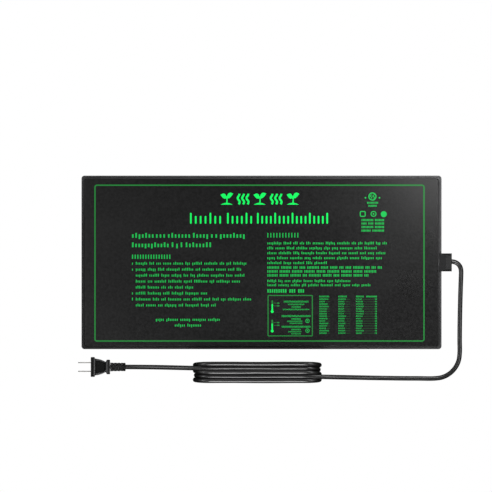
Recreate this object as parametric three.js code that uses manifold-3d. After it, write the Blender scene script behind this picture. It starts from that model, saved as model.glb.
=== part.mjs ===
// Seedling heat mat: a flat, welded PVC heater with a cord entry block, a lead folded into a hank, and a two-blade plug.
// Millimetres, +Z up. The origin is the centre of the mat's underside, and +X runs along its length to the entry block.
import * as THREE from "three";
import { mergeVertices } from "three/addons/utils/BufferGeometryUtils.js";
import Module from "manifold-3d";

const wasm = await Module();
wasm.setup();

// Mat outline
const MAT_LENGTH = 527.05; // 20.75 in
const MAT_WIDTH = 254; // 10 in
const MAT_CORNER = 4.5;
const WELD_WIDTH = 3.7; // flat welded rim
const WELD_SLOPE = 1.5; // width of the slope from the rim up to the raised field
const HEATER_INSET = 9; // from the mat's edge to the inner layers

// Heights of the layers, underside to top
const SHEET = 0.5; // thickness of each cover sheet
const RIM_FOOT = 0.6; // underside of the top sheet's rim
const PAD_Z = [0.6, 1.0];
const FOIL_Z = [1.1, 1.25];
const WIRE_Z = 1.88;
const FILM_Z = [2.5, 2.65];
const FIELD_TOP = 3.25;

// Heating wire
const WIRE_DIAMETER = 1;
const WIRE_PASSES = 12;
const WIRE_PITCH = 20;
const WIRE_TURN_X = 228; // where the straight passes end
const WIRE_RETURN_X = 248; // the tails run back to the block along this line
const WIRE_TAIL_Y = 4.5; // the tails leave the mat at plus and minus this
const WIRE_DUCT_Z = 1.35; // wire height in the duct through the rim
const WIRE_CORNER = 4; // where the end margin's corners start
const WIRE_CORNER_POINT = [1.5, 1.2]; // a place on their curve, from the corner

// Duct through the rim, for the wire tails
const DUCT_HALF_WIDTH = 8;
const DUCT_TOP = 2.65;

// Cord entry block
const MAT_END = MAT_LENGTH / 2;
const BLOCK_END = 278.6;
const BLOCK_HEIGHT = 10;
const BLOCK_HALF_WIDTH = 13.2;
const BLOCK_CHAMFER = 3.2; // in plan
const BLOCK_EDGE = 0.6; // chamfer along the top of the outer end
const BLOCK_SHOULDER_Z = 5.4; // where the side chamfers begin
const BLOCK_SPLIT_Z = 4.2; // parting line, a little under the cord's axis
const LIP_START = 260.2; // the ramp's foot, over the rim
const LIP_FOOT_Z = 1.4;
const RAMP_FOOT_Z = 3;
const RAMP_TOP_X = 270;
const GAP = 0.3; // between pieces that touch
const CUT_MARGIN = 1; // how far a cutting shape runs past what it cuts

// Inside the block
const ROOM_START = 265.5;
const ROOM_END = 276.9;
const ROOM_HALF_WIDTH = 9.6;
const ROOM_FLOOR = 1;
const ROOM_EAVES = 5.6;
const ROOM_ROOF = 8.8;
const ROOM_ROOF_START = 270.6;
const SPLICE_X = [266.9, 269.7];
const SPLICE_Z = 1.9 + 0.8;
const SPLICE_DIAMETER = 2;
const SLEEVE_X = [267.1, 270.1];
const SLEEVE_DIAMETER = 3.3;
const SLEEVE_BORE = 2.5;
const CORE_DIAMETER = 1.6;
const CORE_SPACING = 2.6; // between the cores' centres in the jacket
const CORE_STRAIGHT = 0.6; // at each end of a core in the block
const JACKET_END_X = 274;
const GROMMET_X = [265.7, 266.5];
const GROMMET_HALF_WIDTH = 7.5;
const GROMMET_Z = [1.15, 4.5];
const GROMMET_SLOT = [1.6, 3.5]; // width, and height of its top
const CLAMP_START = 274.9;
const CLAMP_CHEEK = 2.2; // beside the cord
const CLAMP_CROWN = 2.8; // above the cord's axis
const CLAMP_LIFT = 0.1; // off the block's floor

// One heater tail from its crimp to the return line: X, Z and how far it has spread from its place in the duct
const WIRE_TAIL = [
  [266.6, SPLICE_Z, 1],
  [265.3, 1.9, 1],
  [263, WIRE_DUCT_Z, 1],
  [258.5, WIRE_DUCT_Z, 1],
  [255, 1.83, 1],
  [251, WIRE_Z, 1.15],
  [WIRE_RETURN_X, WIRE_Z, 1.6],
];

// Cord
const CORD_DIAMETER = 6.8;
const CORD_SIDES = 12;
const CORD_Y = 1.2; // where the cord leaves the block
const CORD_Z = 5.2;

// Hank: turns wound round a flat loop that stands on its long side
const HANK_X = [-100.6, 88.2];
const HANK_Y = -161;
const HANK_RUNS = 5;
const RUN_PITCH = 6.15; // the upper runs nest in height, so they lie closer than a diameter
const FOLD_RADIUS = 3 * CORD_DIAMETER; // at the cord's centreline
const HANK_SAG = 2.5; // dip of the upper runs at mid-length
const HANK_STEPS = 16;

// Plug, pointing along -X
const PLUG_Y = -153.1;
const PLUG_Z = 9;
const RELIEF_X = [-221.4, -199];
const RELIEF_BACK_RADIUS = 6.1;
const RELIEF_END_CHAMFER = 1;
const RELIEF_FRONT_RADIUS = 6.45;
const CORD_BORE = CORD_DIAMETER / 2 + GAP;
const COLLAR_X = [-227.9, -221.7];
const COLLAR_SIZE = [21.4, 15.5]; // across Y and Z
const COLLAR_ROUNDING = 5;
const BARREL_X = [-244.2, -227.6];
const BARREL_NECK = 15.1;
const BARREL_FRONT = 23.8;
const BARREL_HEIGHT = 15.5;
const BARREL_ROUNDING = 4;
const BARREL_CURVE = [3, 1]; // the waist's control point, ahead of the neck and outside it
const FLANGE_X = [-250, -243.9];
const FLANGE_SIZE = [29, 18];
const FLANGE_ROUNDING = 5;
const INSERT_X = [-247.3, -236.5];
const INSERT_SIZE = [21, 10.5];
const INSERT_ROUNDING = [0.7, 1]; // of the insert, and of its room
const WIRING_SHOULDER_X = -233.6; // the wiring room behind the insert narrows from here
const WIRING_END_X = -228;
const WIRING_WIDE = 7.6; // half widths
const WIRING_NARROW = 4.5;
const WIRING_HALF_HEIGHT = 4.4;
const PLUG_BORE_X = [-230, -221];
const BLADE_SPACING = 12.7;
const BLADE_TIP_X = -268.3;
const BLADE_ROOT_X = -234.5;
const BLADE_THICKNESS = 1.5;
const LINE_BLADE_WIDTH = 6.35;
const NEUTRAL_BLADE_WIDTH = 7.94; // the wider blade makes the plug polarised
const BLADE_TIP_CHAMFER = 1.6;
const BLADE_HOLE_X = -261.7;
const BLADE_HOLE_RADIUS = 1.6;
const TAIL_END_X = -226;
const PLUG_CORE_STRAIGHT = 1;
const PLUG_CORE_INSET = 0.4; // from a blade's middle to its core's

// The route of the cord's two free stretches, hand-laid. The first leaves the block, drops to the surface, turns
// the corner and climbs onto the hank; the second comes down off the hank into the plug.
const LEAD_ROUTE = [
  [274, 1.2, 5.2],
  [278.6, 1.2, 5.2],
  [283.8, 0.16, 5.18],
  [288.22, -2.78, 5.1],
  [291.16, -7.2, 4.95],
  [292.2, -12.4, 4.75],
  [292, -24, 4.2],
  [291.4, -42, 3.6],
  [290.8, -64, 3.45],
  [290.3, -90, 3.45],
  [290.1, -113, 3.45],
  [290.1, -133.5, 3.45],
  [288.32, -144.72, 3.45],
  [283.17, -154.84, 3.45],
  [275.14, -162.87, 3.45],
  [265.02, -168.02, 3.45],
  [253.8, -169.8, 3.45],
  [228, -169.8, 3.45],
  [205, -169.7, 3.45],
  [185, -169.4, 3.9],
  [165, -169.1, 7.4],
  [145, -168.7, 14.5],
  [125, -168.3, 23.3],
  [105, -167.9, 32],
  [87.6, -167.5, 37.8],
];
const TAIL_ROUTE = [
  [-99.5, -154.7, 38.4],
  [-118, -154.3, 32.7],
  [-138, -153.8, 25],
  [-158, -153.4, 17.3],
  [-176, -153.2, 11.9],
  [-190, -153.1, 9.4],
  [-199, -153.1, 9],
  [-213, -153.1, 9],
  [TAIL_END_X, -153.1, 9],
];

// Materials
const finish = (color, roughness, metalness = 0) =>
  new THREE.MeshStandardMaterial({ color, roughness, metalness });
const coverPvc = () => finish(0x2a2a2b, 0.6);
const foam = () => finish(0xd9d6cc, 0.95);
const foil = () => finish(0xc4c6c8, 0.35, 1);
const wireInsulation = () => finish(0xb8322a, 0.5);
const clearFilm = () => finish(0xdfe3e4, 0.3);
const blockPvc = () => finish(0x232324, 0.5);
const blackRubber = () => finish(0x1d1d1e, 0.8);
const tinnedCrimp = () => finish(0xb9b4a6, 0.35, 1);
const shrinkSleeve = () => finish(0x26262a, 0.55);
const coreInsulation = (color) => finish(color, 0.45);
const cordPvc = () => finish(0x141415, 0.3);
const plugPvc = () => finish(0x161617, 0.35);
const insertPlastic = () => finish(0xe4e0d4, 0.5);
const nickel = () => finish(0xc9c7c0, 0.25, 1);

const group = new THREE.Group();

// Adds one named piece to the group.
function add(name, geometry, material) {
  const mesh = new THREE.Mesh(geometry, material);
  mesh.name = name;
  group.add(mesh);
  return mesh;
}

// A closed geometry as a solid that can be joined or cut.
function solidOf(geometry) {
  const bare = new THREE.BufferGeometry();
  bare.setAttribute("position", geometry.getAttribute("position").clone());
  if (geometry.index) bare.setIndex(geometry.index.clone());
  const merged = mergeVertices(bare, 1e-4);
  const vertProperties = merged.getAttribute("position").array;
  const triVerts = new Uint32Array(merged.index.array);
  return new wasm.Manifold(
    new wasm.Mesh({ numProp: 3, vertProperties, triVerts }),
  );
}

// A solid back as a geometry with flat-shaded faces.
function geometryOf(solid) {
  const { vertProperties, triVerts } = solid.getMesh();
  const geometry = new THREE.BufferGeometry();
  const positions = new THREE.BufferAttribute(vertProperties, 3);
  geometry.setAttribute("position", positions);
  geometry.setIndex(new THREE.BufferAttribute(triVerts, 1));
  const flat = geometry.toNonIndexed();
  flat.computeVertexNormals();
  return flat;
}

function roundedRectangle(length, width, radius) {
  const x = length / 2;
  const y = width / 2;
  const shape = new THREE.Shape();
  shape.moveTo(x, radius - y);
  shape.absarc(x - radius, y - radius, radius, 0, Math.PI / 2);
  shape.absarc(radius - x, y - radius, radius, Math.PI / 2, Math.PI);
  shape.absarc(radius - x, radius - y, radius, Math.PI, 1.5 * Math.PI);
  shape.absarc(x - radius, radius - y, radius, 1.5 * Math.PI, 2 * Math.PI);
  return shape;
}

function polygon(points) {
  return new THREE.Shape(points.map(([x, y]) => new THREE.Vector2(x, y)));
}

// A flat plate between two heights.
function plate(shape, bottom, top, curveSegments = 6) {
  const depth = top - bottom;
  const options = { depth, bevelEnabled: false, curveSegments };
  return new THREE.ExtrudeGeometry(shape, options).translate(0, 0, bottom);
}

// An outline drawn in XZ and carried along Y between two places.
function alongY(shape, from, to, curveSegments = 12) {
  return plate(shape, -to, -from, curveSegments).rotateX(Math.PI / 2);
}

// An outline drawn in YZ and carried along X between two places.
function alongX(shape, from, to, curveSegments = 12) {
  const upright = plate(shape, from, to, curveSegments);
  return upright.rotateX(Math.PI / 2).rotateZ(Math.PI / 2);
}

function box(x, y, z) {
  const geometry = new THREE.BoxGeometry(x[1] - x[0], y[1] - y[0], z[1] - z[0]);
  const centre = [x, y, z].map(([low, high]) => (low + high) / 2);
  return geometry.translate(...centre);
}

// A route whose steps fall on its own points, so straight stretches cost one step each.
class SteppedRoute extends THREE.Curve {
  constructor(points) {
    super();
    this.points = points;
  }

  getPoint(t, target = new THREE.Vector3()) {
    const place = t * (this.points.length - 1);
    const start = Math.min(Math.floor(place), this.points.length - 2);
    return target.lerpVectors(
      this.points[start],
      this.points[start + 1],
      place - start,
    );
  }

  getPointAt(u, target) {
    return this.getPoint(u, target);
  }

  // The mean of the directions of the two stretches that meet at the nearest point.
  getTangent(t, target = new THREE.Vector3()) {
    const last = this.points.length - 1;
    const here = Math.round(t * last);
    const before = this.points[Math.max(here - 1, 0)];
    const after = this.points[Math.min(here + 1, last)];
    const point = this.points[here];
    const arriving = point.clone().sub(before).normalize();
    const leaving = after.clone().sub(point).normalize();
    return target.copy(arriving).add(leaving).normalize();
  }

  getTangentAt(u, target) {
    return this.getTangent(u, target);
  }
}

function tube(route, diameter, sides, steps) {
  const section = new THREE.Shape();
  section.absarc(0, 0, diameter / 2, 0, 2 * Math.PI);
  const curveSegments = sides / 2; // a full circle is drawn with twice as many
  const options = { extrudePath: route, steps, curveSegments };
  return new THREE.ExtrudeGeometry(section, options);
}

function steppedTube(points, diameter, sides = 8) {
  const route = new SteppedRoute(points);
  return tube(route, diameter, sides, points.length - 1);
}

function smoothTube(points, diameter, sides, steps) {
  const vectors = points.map((point) => new THREE.Vector3(...point));
  return tube(new THREE.CatmullRomCurve3(vectors), diameter, sides, steps);
}

// A round bar or tube along X, as a turned profile.
function turned(profile, y, z, segments = 24) {
  const points = profile.map(([x, radius]) => new THREE.Vector2(radius, x));
  const geometry = new THREE.LatheGeometry(points, segments);
  return geometry.rotateZ(-Math.PI / 2).translate(0, y, z);
}

const heaterSheet = () =>
  roundedRectangle(
    MAT_LENGTH - 2 * HEATER_INSET,
    MAT_WIDTH - 2 * HEATER_INSET,
    MAT_CORNER,
  );

// A raised field with sloping sides, cut level at its foot: the shape pressed into the top sheet.
function raisedField(shrink, foot, top) {
  const inset = WELD_WIDTH + shrink;
  const rise = top - foot;
  const outline = roundedRectangle(
    MAT_LENGTH - 2 * inset,
    MAT_WIDTH - 2 * inset,
    MAT_CORNER,
  );
  const geometry = new THREE.ExtrudeGeometry(outline, {
    depth: rise,
    bevelThickness: rise,
    bevelSize: WELD_SLOPE,
    bevelOffset: -WELD_SLOPE,
    bevelSegments: 1,
    curveSegments: 6,
  });
  geometry.translate(0, 0, foot - rise);
  const below = box(
    [-MAT_LENGTH, MAT_LENGTH],
    [-MAT_WIDTH, MAT_WIDTH],
    [foot - 3 * rise, foot],
  );
  return solidOf(geometry).subtract(solidOf(below));
}

function makeTopCover() {
  const outline = roundedRectangle(MAT_LENGTH, MAT_WIDTH, MAT_CORNER);
  const rim = solidOf(plate(outline, RIM_FOOT, RIM_FOOT + SHEET));
  const field = raisedField(0, RIM_FOOT, FIELD_TOP);
  const hollow = raisedField(SHEET, 0, FIELD_TOP - SHEET);
  const across = [-DUCT_HALF_WIDTH, DUCT_HALF_WIDTH];
  const inside = [SHEET - DUCT_HALF_WIDTH, DUCT_HALF_WIDTH - SHEET];
  const duct = box([MAT_END - 12, MAT_END], across, [RIM_FOOT, DUCT_TOP]);
  const bore = box([MAT_END - 12, MAT_END + 1], inside, [0, DUCT_TOP - SHEET]);
  return geometryOf(
    rim
      .add(field)
      .add(solidOf(duct))
      .subtract(hollow)
      .subtract(solidOf(bore)),
  );
}

function makeBottomCover() {
  const outline = roundedRectangle(MAT_LENGTH, MAT_WIDTH, MAT_CORNER);
  return plate(outline, 0, SHEET);
}

// The points of a half turn in plan, without its ends.
function halfTurn(x, y, radius, side) {
  const parts = 6;
  const points = [];
  for (let i = 1; i < parts; i += 1) {
    const angle = -Math.PI / 2 + (Math.PI * i) / parts;
    points.push(
      new THREE.Vector3(
        x + side * radius * Math.cos(angle),
        y + radius * Math.sin(angle),
        WIRE_Z,
      ),
    );
  }
  return points;
}

// The wire leaves the duct, runs down the end margin, snakes across the mat and comes back to the duct.
function heatingWireRoute() {
  const first = (-(WIRE_PASSES - 1) * WIRE_PITCH) / 2;
  const at = (x, y, z = WIRE_Z) => new THREE.Vector3(x, y, z);
  const tail = (y) => WIRE_TAIL.map(([x, z, spread]) => at(x, y * spread, z));
  const [cornerX, cornerY] = WIRE_CORNER_POINT;
  const points = tail(-WIRE_TAIL_Y);
  points.push(at(WIRE_RETURN_X, first + WIRE_CORNER));
  points.push(at(WIRE_RETURN_X - cornerX, first + cornerY));
  points.push(at(WIRE_RETURN_X - WIRE_CORNER, first));
  for (let pass = 0; pass < WIRE_PASSES; pass += 1) {
    const y = first + pass * WIRE_PITCH;
    const side = pass % 2 ? 1 : -1;
    const isLast = pass === WIRE_PASSES - 1;
    if (pass) points.push(at(-side * WIRE_TURN_X, y));
    if (!isLast) {
      points.push(at(side * WIRE_TURN_X, y));
      const middle = y + WIRE_PITCH / 2;
      points.push(
        ...halfTurn(side * WIRE_TURN_X, middle, WIRE_PITCH / 2, side),
      );
    }
  }
  const last = -first;
  points.push(at(WIRE_RETURN_X - WIRE_CORNER, last));
  points.push(at(WIRE_RETURN_X - cornerX, last - cornerY));
  points.push(at(WIRE_RETURN_X, last - WIRE_CORNER));
  points.push(...tail(WIRE_TAIL_Y).reverse());
  return points;
}

// The block's outer form: a side profile with the ramp, trimmed by an end profile with chamfered shoulders.
function blockForm() {
  const side = polygon([
    [LIP_START, LIP_FOOT_Z],
    [MAT_END + GAP, LIP_FOOT_Z],
    [MAT_END + GAP, 0],
    [BLOCK_END, 0],
    [BLOCK_END, BLOCK_HEIGHT - BLOCK_EDGE],
    [BLOCK_END - BLOCK_EDGE, BLOCK_HEIGHT],
    [RAMP_TOP_X, BLOCK_HEIGHT],
    [LIP_START, RAMP_FOOT_Z],
  ]);
  const end = polygon([
    [-BLOCK_HALF_WIDTH, 0],
    [BLOCK_HALF_WIDTH, 0],
    [BLOCK_HALF_WIDTH, BLOCK_SHOULDER_Z],
    [BLOCK_HALF_WIDTH - BLOCK_CHAMFER, BLOCK_HEIGHT],
    [BLOCK_CHAMFER - BLOCK_HALF_WIDTH, BLOCK_HEIGHT],
    [-BLOCK_HALF_WIDTH, BLOCK_SHOULDER_Z],
  ]);
  const profile = alongY(side, -BLOCK_HALF_WIDTH, BLOCK_HALF_WIDTH);
  const trim = alongX(end, LIP_START - CUT_MARGIN, BLOCK_END + CUT_MARGIN);
  return solidOf(profile).intersect(solidOf(trim));
}

// The room inside the block, with the duct's passage and the cord's hole.
function blockHollow() {
  const room = polygon([
    [ROOM_START, ROOM_FLOOR],
    [ROOM_END, ROOM_FLOOR],
    [ROOM_END, ROOM_ROOF],
    [ROOM_ROOF_START, ROOM_ROOF],
    [ROOM_START + CUT_MARGIN, ROOM_EAVES],
    [ROOM_START, ROOM_EAVES],
  ]);
  const passage = box(
    [LIP_START - CUT_MARGIN, ROOM_START + GAP],
    [-DUCT_HALF_WIDTH - GAP, DUCT_HALF_WIDTH + GAP],
    [RIM_FOOT, DUCT_TOP + GAP],
  );
  const hole = turned(
    [
      [ROOM_END - CUT_MARGIN, 0],
      [ROOM_END - CUT_MARGIN, CORD_BORE],
      [BLOCK_END + CUT_MARGIN, CORD_BORE],
      [BLOCK_END + CUT_MARGIN, 0],
    ],
    CORD_Y,
    CORD_Z,
  );
  return solidOf(alongY(room, -ROOM_HALF_WIDTH, ROOM_HALF_WIDTH))
    .add(solidOf(passage))
    .add(solidOf(hole));
}

function makeJunction() {
  const block = blockForm().subtract(blockHollow());
  const along = [MAT_END + GAP / 2, BLOCK_END + CUT_MARGIN];
  const across = [-MAT_WIDTH, MAT_WIDTH];
  const lower = box(along, across, [-CUT_MARGIN, BLOCK_SPLIT_Z - GAP / 2]);
  const lowerGrown = box(along, across, [-CUT_MARGIN, BLOCK_SPLIT_Z + GAP / 2]);
  return {
    base: geometryOf(block.intersect(solidOf(lower))),
    cover: geometryOf(block.subtract(solidOf(lowerGrown))),
  };
}

// A rubber comb that drops over both heater tails at the mat's edge.
function makeGrommet() {
  const body = box(GROMMET_X, [-GROMMET_HALF_WIDTH, GROMMET_HALF_WIDTH], GROMMET_Z);
  const [slotWidth, slotTop] = GROMMET_SLOT;
  const through = [GROMMET_X[0] - CUT_MARGIN, GROMMET_X[1] + CUT_MARGIN];
  let comb = solidOf(body);
  for (const y of [-WIRE_TAIL_Y, WIRE_TAIL_Y]) {
    const slot = box(through, [y - slotWidth / 2, y + slotWidth / 2], [0, slotTop]);
    comb = comb.subtract(solidOf(slot));
  }
  return geometryOf(comb);
}

function makeSplice(y) {
  const radius = SPLICE_DIAMETER / 2;
  return turned(
    [
      [SPLICE_X[0], 0],
      [SPLICE_X[0], radius],
      [SPLICE_X[1], radius],
      [SPLICE_X[1], 0],
    ],
    y,
    SPLICE_Z,
    16,
  );
}

function makeSpliceSleeve(y) {
  return turned(
    [
      [SLEEVE_X[0], SLEEVE_BORE / 2],
      [SLEEVE_X[0], SLEEVE_DIAMETER / 2],
      [SLEEVE_X[1], SLEEVE_DIAMETER / 2],
      [SLEEVE_X[1], SLEEVE_BORE / 2],
      [SLEEVE_X[0], SLEEVE_BORE / 2],
    ],
    y,
    SPLICE_Z,
    16,
  );
}

// One cord core, from the jacket's end down to its crimp.
function makeCore(side) {
  const y = side * WIRE_TAIL_Y;
  const start = [JACKET_END_X - GAP, CORD_Y + (side * CORE_SPACING) / 2, CORD_Z];
  const end = [SPLICE_X[1] + GAP, y, SPLICE_Z];
  const route = [
    start,
    [start[0] - CORE_STRAIGHT, start[1], start[2]],
    [(start[0] + end[0]) / 2, (start[1] + y) / 2, (CORD_Z + SPLICE_Z) / 2],
    [end[0] + CORE_STRAIGHT, end[1], end[2]],
    end,
  ];
  return smoothTube(route, CORE_DIAMETER, 10, 12);
}

function makeCordClamp() {
  const outer = CORD_BORE + CLAMP_CHEEK;
  const foot = ROOM_FLOOR + CLAMP_LIFT - CORD_Z;
  const form = new THREE.Shape();
  form.moveTo(-outer, foot);
  form.lineTo(outer, foot);
  form.lineTo(outer, CLAMP_CROWN);
  form.lineTo(CORD_BORE, CLAMP_CROWN);
  form.lineTo(CORD_BORE, 0);
  form.absarc(0, 0, CORD_BORE, 0, Math.PI, true);
  form.lineTo(-CORD_BORE, CLAMP_CROWN);
  form.lineTo(-outer, CLAMP_CROWN);
  const clamp = alongX(form, CLAMP_START, ROOM_END - GAP, 10);
  return clamp.translate(0, CORD_Y, CORD_Z);
}

// The side outline of the hank: round ends, a flat foot, and upper runs that dip in the middle.
function hankOutline(radius, edge, path) {
  const left = HANK_X[0] + FOLD_RADIUS + CORD_DIAMETER / 2;
  const right = HANK_X[1] - FOLD_RADIUS - CORD_DIAMETER / 2;
  const centre = FOLD_RADIUS + CORD_DIAMETER / 2;
  path.moveTo(left, edge);
  path.lineTo(right, edge);
  path.absarc(right, centre, radius, -Math.PI / 2, Math.PI / 2);
  for (let i = 1; i < HANK_STEPS; i += 1) {
    const part = i / HANK_STEPS;
    const dip = HANK_SAG * Math.sin(Math.PI * part) ** 2;
    path.lineTo(right + (left - right) * part, centre + radius - dip);
  }
  path.absarc(left, centre, radius, Math.PI / 2, 1.5 * Math.PI);
  return path;
}

function makeHank() {
  const outer = FOLD_RADIUS + CORD_DIAMETER / 2;
  const inner = FOLD_RADIUS - CORD_DIAMETER / 2;
  const outline = hankOutline(outer, 0, new THREE.Shape());
  outline.holes.push(hankOutline(inner, CORD_DIAMETER, new THREE.Path()));
  const half = ((HANK_RUNS - 1) * RUN_PITCH + CORD_DIAMETER) / 2;
  return alongY(outline, HANK_Y - half, HANK_Y + half);
}

function makeStrainRelief() {
  return turned(
    [
      [RELIEF_X[0], CORD_BORE],
      [RELIEF_X[0], RELIEF_FRONT_RADIUS],
      [RELIEF_X[1] - RELIEF_END_CHAMFER, RELIEF_BACK_RADIUS],
      [RELIEF_X[1], RELIEF_BACK_RADIUS - RELIEF_END_CHAMFER],
      [RELIEF_X[1], CORD_BORE],
      [RELIEF_X[0], CORD_BORE],
    ],
    PLUG_Y,
    PLUG_Z,
  );
}

// A block with rounded edges that run along X, centred on the plug's axis.
function plugBlock(x, [across, high], radius) {
  const outline = roundedRectangle(across, high, radius);
  return alongX(outline, x[0], x[1], 5).translate(0, PLUG_Y, PLUG_Z);
}

// The barrel: its plan waists in behind the flange and narrows to the collar.
function barrelForm() {
  const [front, back] = BARREL_X;
  const waistX = back - BARREL_CURVE[0];
  const waistY = BARREL_NECK / 2 + BARREL_CURVE[1];
  const shape = new THREE.Shape();
  shape.moveTo(front, -BARREL_FRONT / 2);
  shape.quadraticCurveTo(waistX, -waistY, back, -BARREL_NECK / 2);
  shape.lineTo(back, BARREL_NECK / 2);
  shape.quadraticCurveTo(waistX, waistY, front, BARREL_FRONT / 2);
  const half = BARREL_HEIGHT / 2;
  const plan = plate(shape, -half, half, 8).translate(0, PLUG_Y, PLUG_Z);
  const size = [BARREL_FRONT + CUT_MARGIN, BARREL_HEIGHT];
  const rounded = plugBlock(BARREL_X, size, BARREL_ROUNDING);
  return solidOf(plan).intersect(solidOf(rounded));
}

const bladeY = (side) => PLUG_Y + (side * BLADE_SPACING) / 2;

// A blade's own space, grown by a clearance.
function bladeSpace(side, width, clearance) {
  const y = bladeY(side);
  const across = BLADE_THICKNESS / 2 + clearance;
  const high = width / 2 + clearance;
  return solidOf(
    box(
      [BLADE_TIP_X - CUT_MARGIN, BLADE_ROOT_X],
      [y - across, y + across],
      [PLUG_Z - high, PLUG_Z + high],
    ),
  );
}

const bothBlades = (clearance) =>
  bladeSpace(1, LINE_BLADE_WIDTH, clearance).add(
    bladeSpace(-1, NEUTRAL_BLADE_WIDTH, clearance),
  );

function makePlugBody() {
  const grown = (pair) => pair.map((size) => size + 2 * GAP);
  const room = [INSERT_X[0] - GAP, INSERT_X[1] + GAP];
  const funnel = polygon([
    [INSERT_X[1], -WIRING_WIDE],
    [WIRING_SHOULDER_X, -WIRING_WIDE],
    [WIRING_END_X, -WIRING_NARROW],
    [WIRING_END_X, WIRING_NARROW],
    [WIRING_SHOULDER_X, WIRING_WIDE],
    [INSERT_X[1], WIRING_WIDE],
  ]);
  const wiring = plate(funnel, -WIRING_HALF_HEIGHT, WIRING_HALF_HEIGHT);
  wiring.translate(0, PLUG_Y, PLUG_Z);
  const bore = turned(
    [
      [PLUG_BORE_X[0], 0],
      [PLUG_BORE_X[0], CORD_BORE],
      [PLUG_BORE_X[1], CORD_BORE],
      [PLUG_BORE_X[1], 0],
    ],
    PLUG_Y,
    PLUG_Z,
  );
  const shell = solidOf(plugBlock(FLANGE_X, FLANGE_SIZE, FLANGE_ROUNDING))
    .add(barrelForm())
    .add(solidOf(plugBlock(COLLAR_X, COLLAR_SIZE, COLLAR_ROUNDING)));
  return geometryOf(
    shell
      .subtract(solidOf(plugBlock(room, grown(INSERT_SIZE), INSERT_ROUNDING[1])))
      .subtract(solidOf(wiring))
      .subtract(solidOf(bore))
      .subtract(bothBlades(GAP)),
  );
}

function makePlugInsert() {
  const block = solidOf(plugBlock(INSERT_X, INSERT_SIZE, INSERT_ROUNDING[0]));
  return geometryOf(block.subtract(bothBlades(GAP)));
}

function makeBlade(side, width) {
  const half = width / 2;
  const chamfer = BLADE_TIP_CHAMFER;
  const outline = polygon([
    [BLADE_ROOT_X, -half],
    [BLADE_ROOT_X, half],
    [BLADE_TIP_X + chamfer, half],
    [BLADE_TIP_X, half - chamfer],
    [BLADE_TIP_X, chamfer - half],
    [BLADE_TIP_X + chamfer, -half],
  ]);
  const hole = new THREE.Path();
  hole.absarc(BLADE_HOLE_X, 0, BLADE_HOLE_RADIUS, 0, 2 * Math.PI);
  outline.holes.push(hole);
  const y = bladeY(side);
  const across = BLADE_THICKNESS / 2;
  return alongY(outline, y - across, y + across).translate(0, 0, PLUG_Z);
}

// A core inside the plug, from the jacket's end to its blade.
function makePlugCore(side) {
  const start = [TAIL_END_X - GAP, PLUG_Y + (side * CORE_SPACING) / 2, PLUG_Z];
  const end = [BLADE_ROOT_X + GAP, bladeY(side) - side * PLUG_CORE_INSET, PLUG_Z];
  const route = [
    start,
    [start[0] - PLUG_CORE_STRAIGHT, start[1], PLUG_Z],
    [(start[0] + end[0]) / 2, (start[1] + end[1]) / 2, PLUG_Z],
    [end[0] + PLUG_CORE_STRAIGHT, end[1], PLUG_Z],
    end,
  ];
  return smoothTube(route, CORE_DIAMETER, 10, 12);
}

// The mat's layers
add("bottom_cover", makeBottomCover(), coverPvc());
add("insulation_pad", plate(heaterSheet(), ...PAD_Z), foam());
add("heat_spreader_foil", plate(heaterSheet(), ...FOIL_Z), foil());
add(
  "heating_wire",
  steppedTube(heatingWireRoute(), WIRE_DIAMETER),
  wireInsulation(),
);
add("wire_cover_film", plate(heaterSheet(), ...FILM_Z), clearFilm());
add("top_cover", makeTopCover(), coverPvc());

// The cord entry block
const junction = makeJunction();
add("junction_base", junction.base, blockPvc());
add("junction_cover", junction.cover, blockPvc());
add("wire_grommet", makeGrommet(), blackRubber());
add("splice_live", makeSplice(WIRE_TAIL_Y), tinnedCrimp());
add("splice_neutral", makeSplice(-WIRE_TAIL_Y), tinnedCrimp());
add("splice_sleeve_live", makeSpliceSleeve(WIRE_TAIL_Y), shrinkSleeve());
add("splice_sleeve_neutral", makeSpliceSleeve(-WIRE_TAIL_Y), shrinkSleeve());
add("core_live", makeCore(1), coreInsulation(0x1b1b1c));
add("core_neutral", makeCore(-1), coreInsulation(0xe8e6df));
add("cord_clamp", makeCordClamp(), blackRubber());

// The cord
add("cord_lead", smoothTube(LEAD_ROUTE, CORD_DIAMETER, CORD_SIDES, 52), cordPvc());
add("cord_hank", makeHank(), cordPvc());
add("cord_tail", smoothTube(TAIL_ROUTE, CORD_DIAMETER, CORD_SIDES, 16), cordPvc());

// The plug
add("plug_strain_relief", makeStrainRelief(), plugPvc());
add("plug_body", makePlugBody(), plugPvc());
add("plug_insert", makePlugInsert(), insertPlastic());
add("blade_line", makeBlade(1, LINE_BLADE_WIDTH), nickel());
add("blade_neutral", makeBlade(-1, NEUTRAL_BLADE_WIDTH), nickel());
add("plug_core_line", makePlugCore(1), coreInsulation(0x1b1b1c));
add("plug_core_neutral", makePlugCore(-1), coreInsulation(0xe8e6df));

export default group;
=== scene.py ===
"""Seedling heat mat: the visible surfaces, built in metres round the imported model.

The mat is two embossed sheets welded at the rim, printed in green ink. A moulded block on one short edge lets the
cord out, and the cord is folded into a hank and ends in a two-blade plug.
"""

import logging
import math
from collections.abc import Callable
from dataclasses import dataclass, field
from enum import Enum

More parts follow.
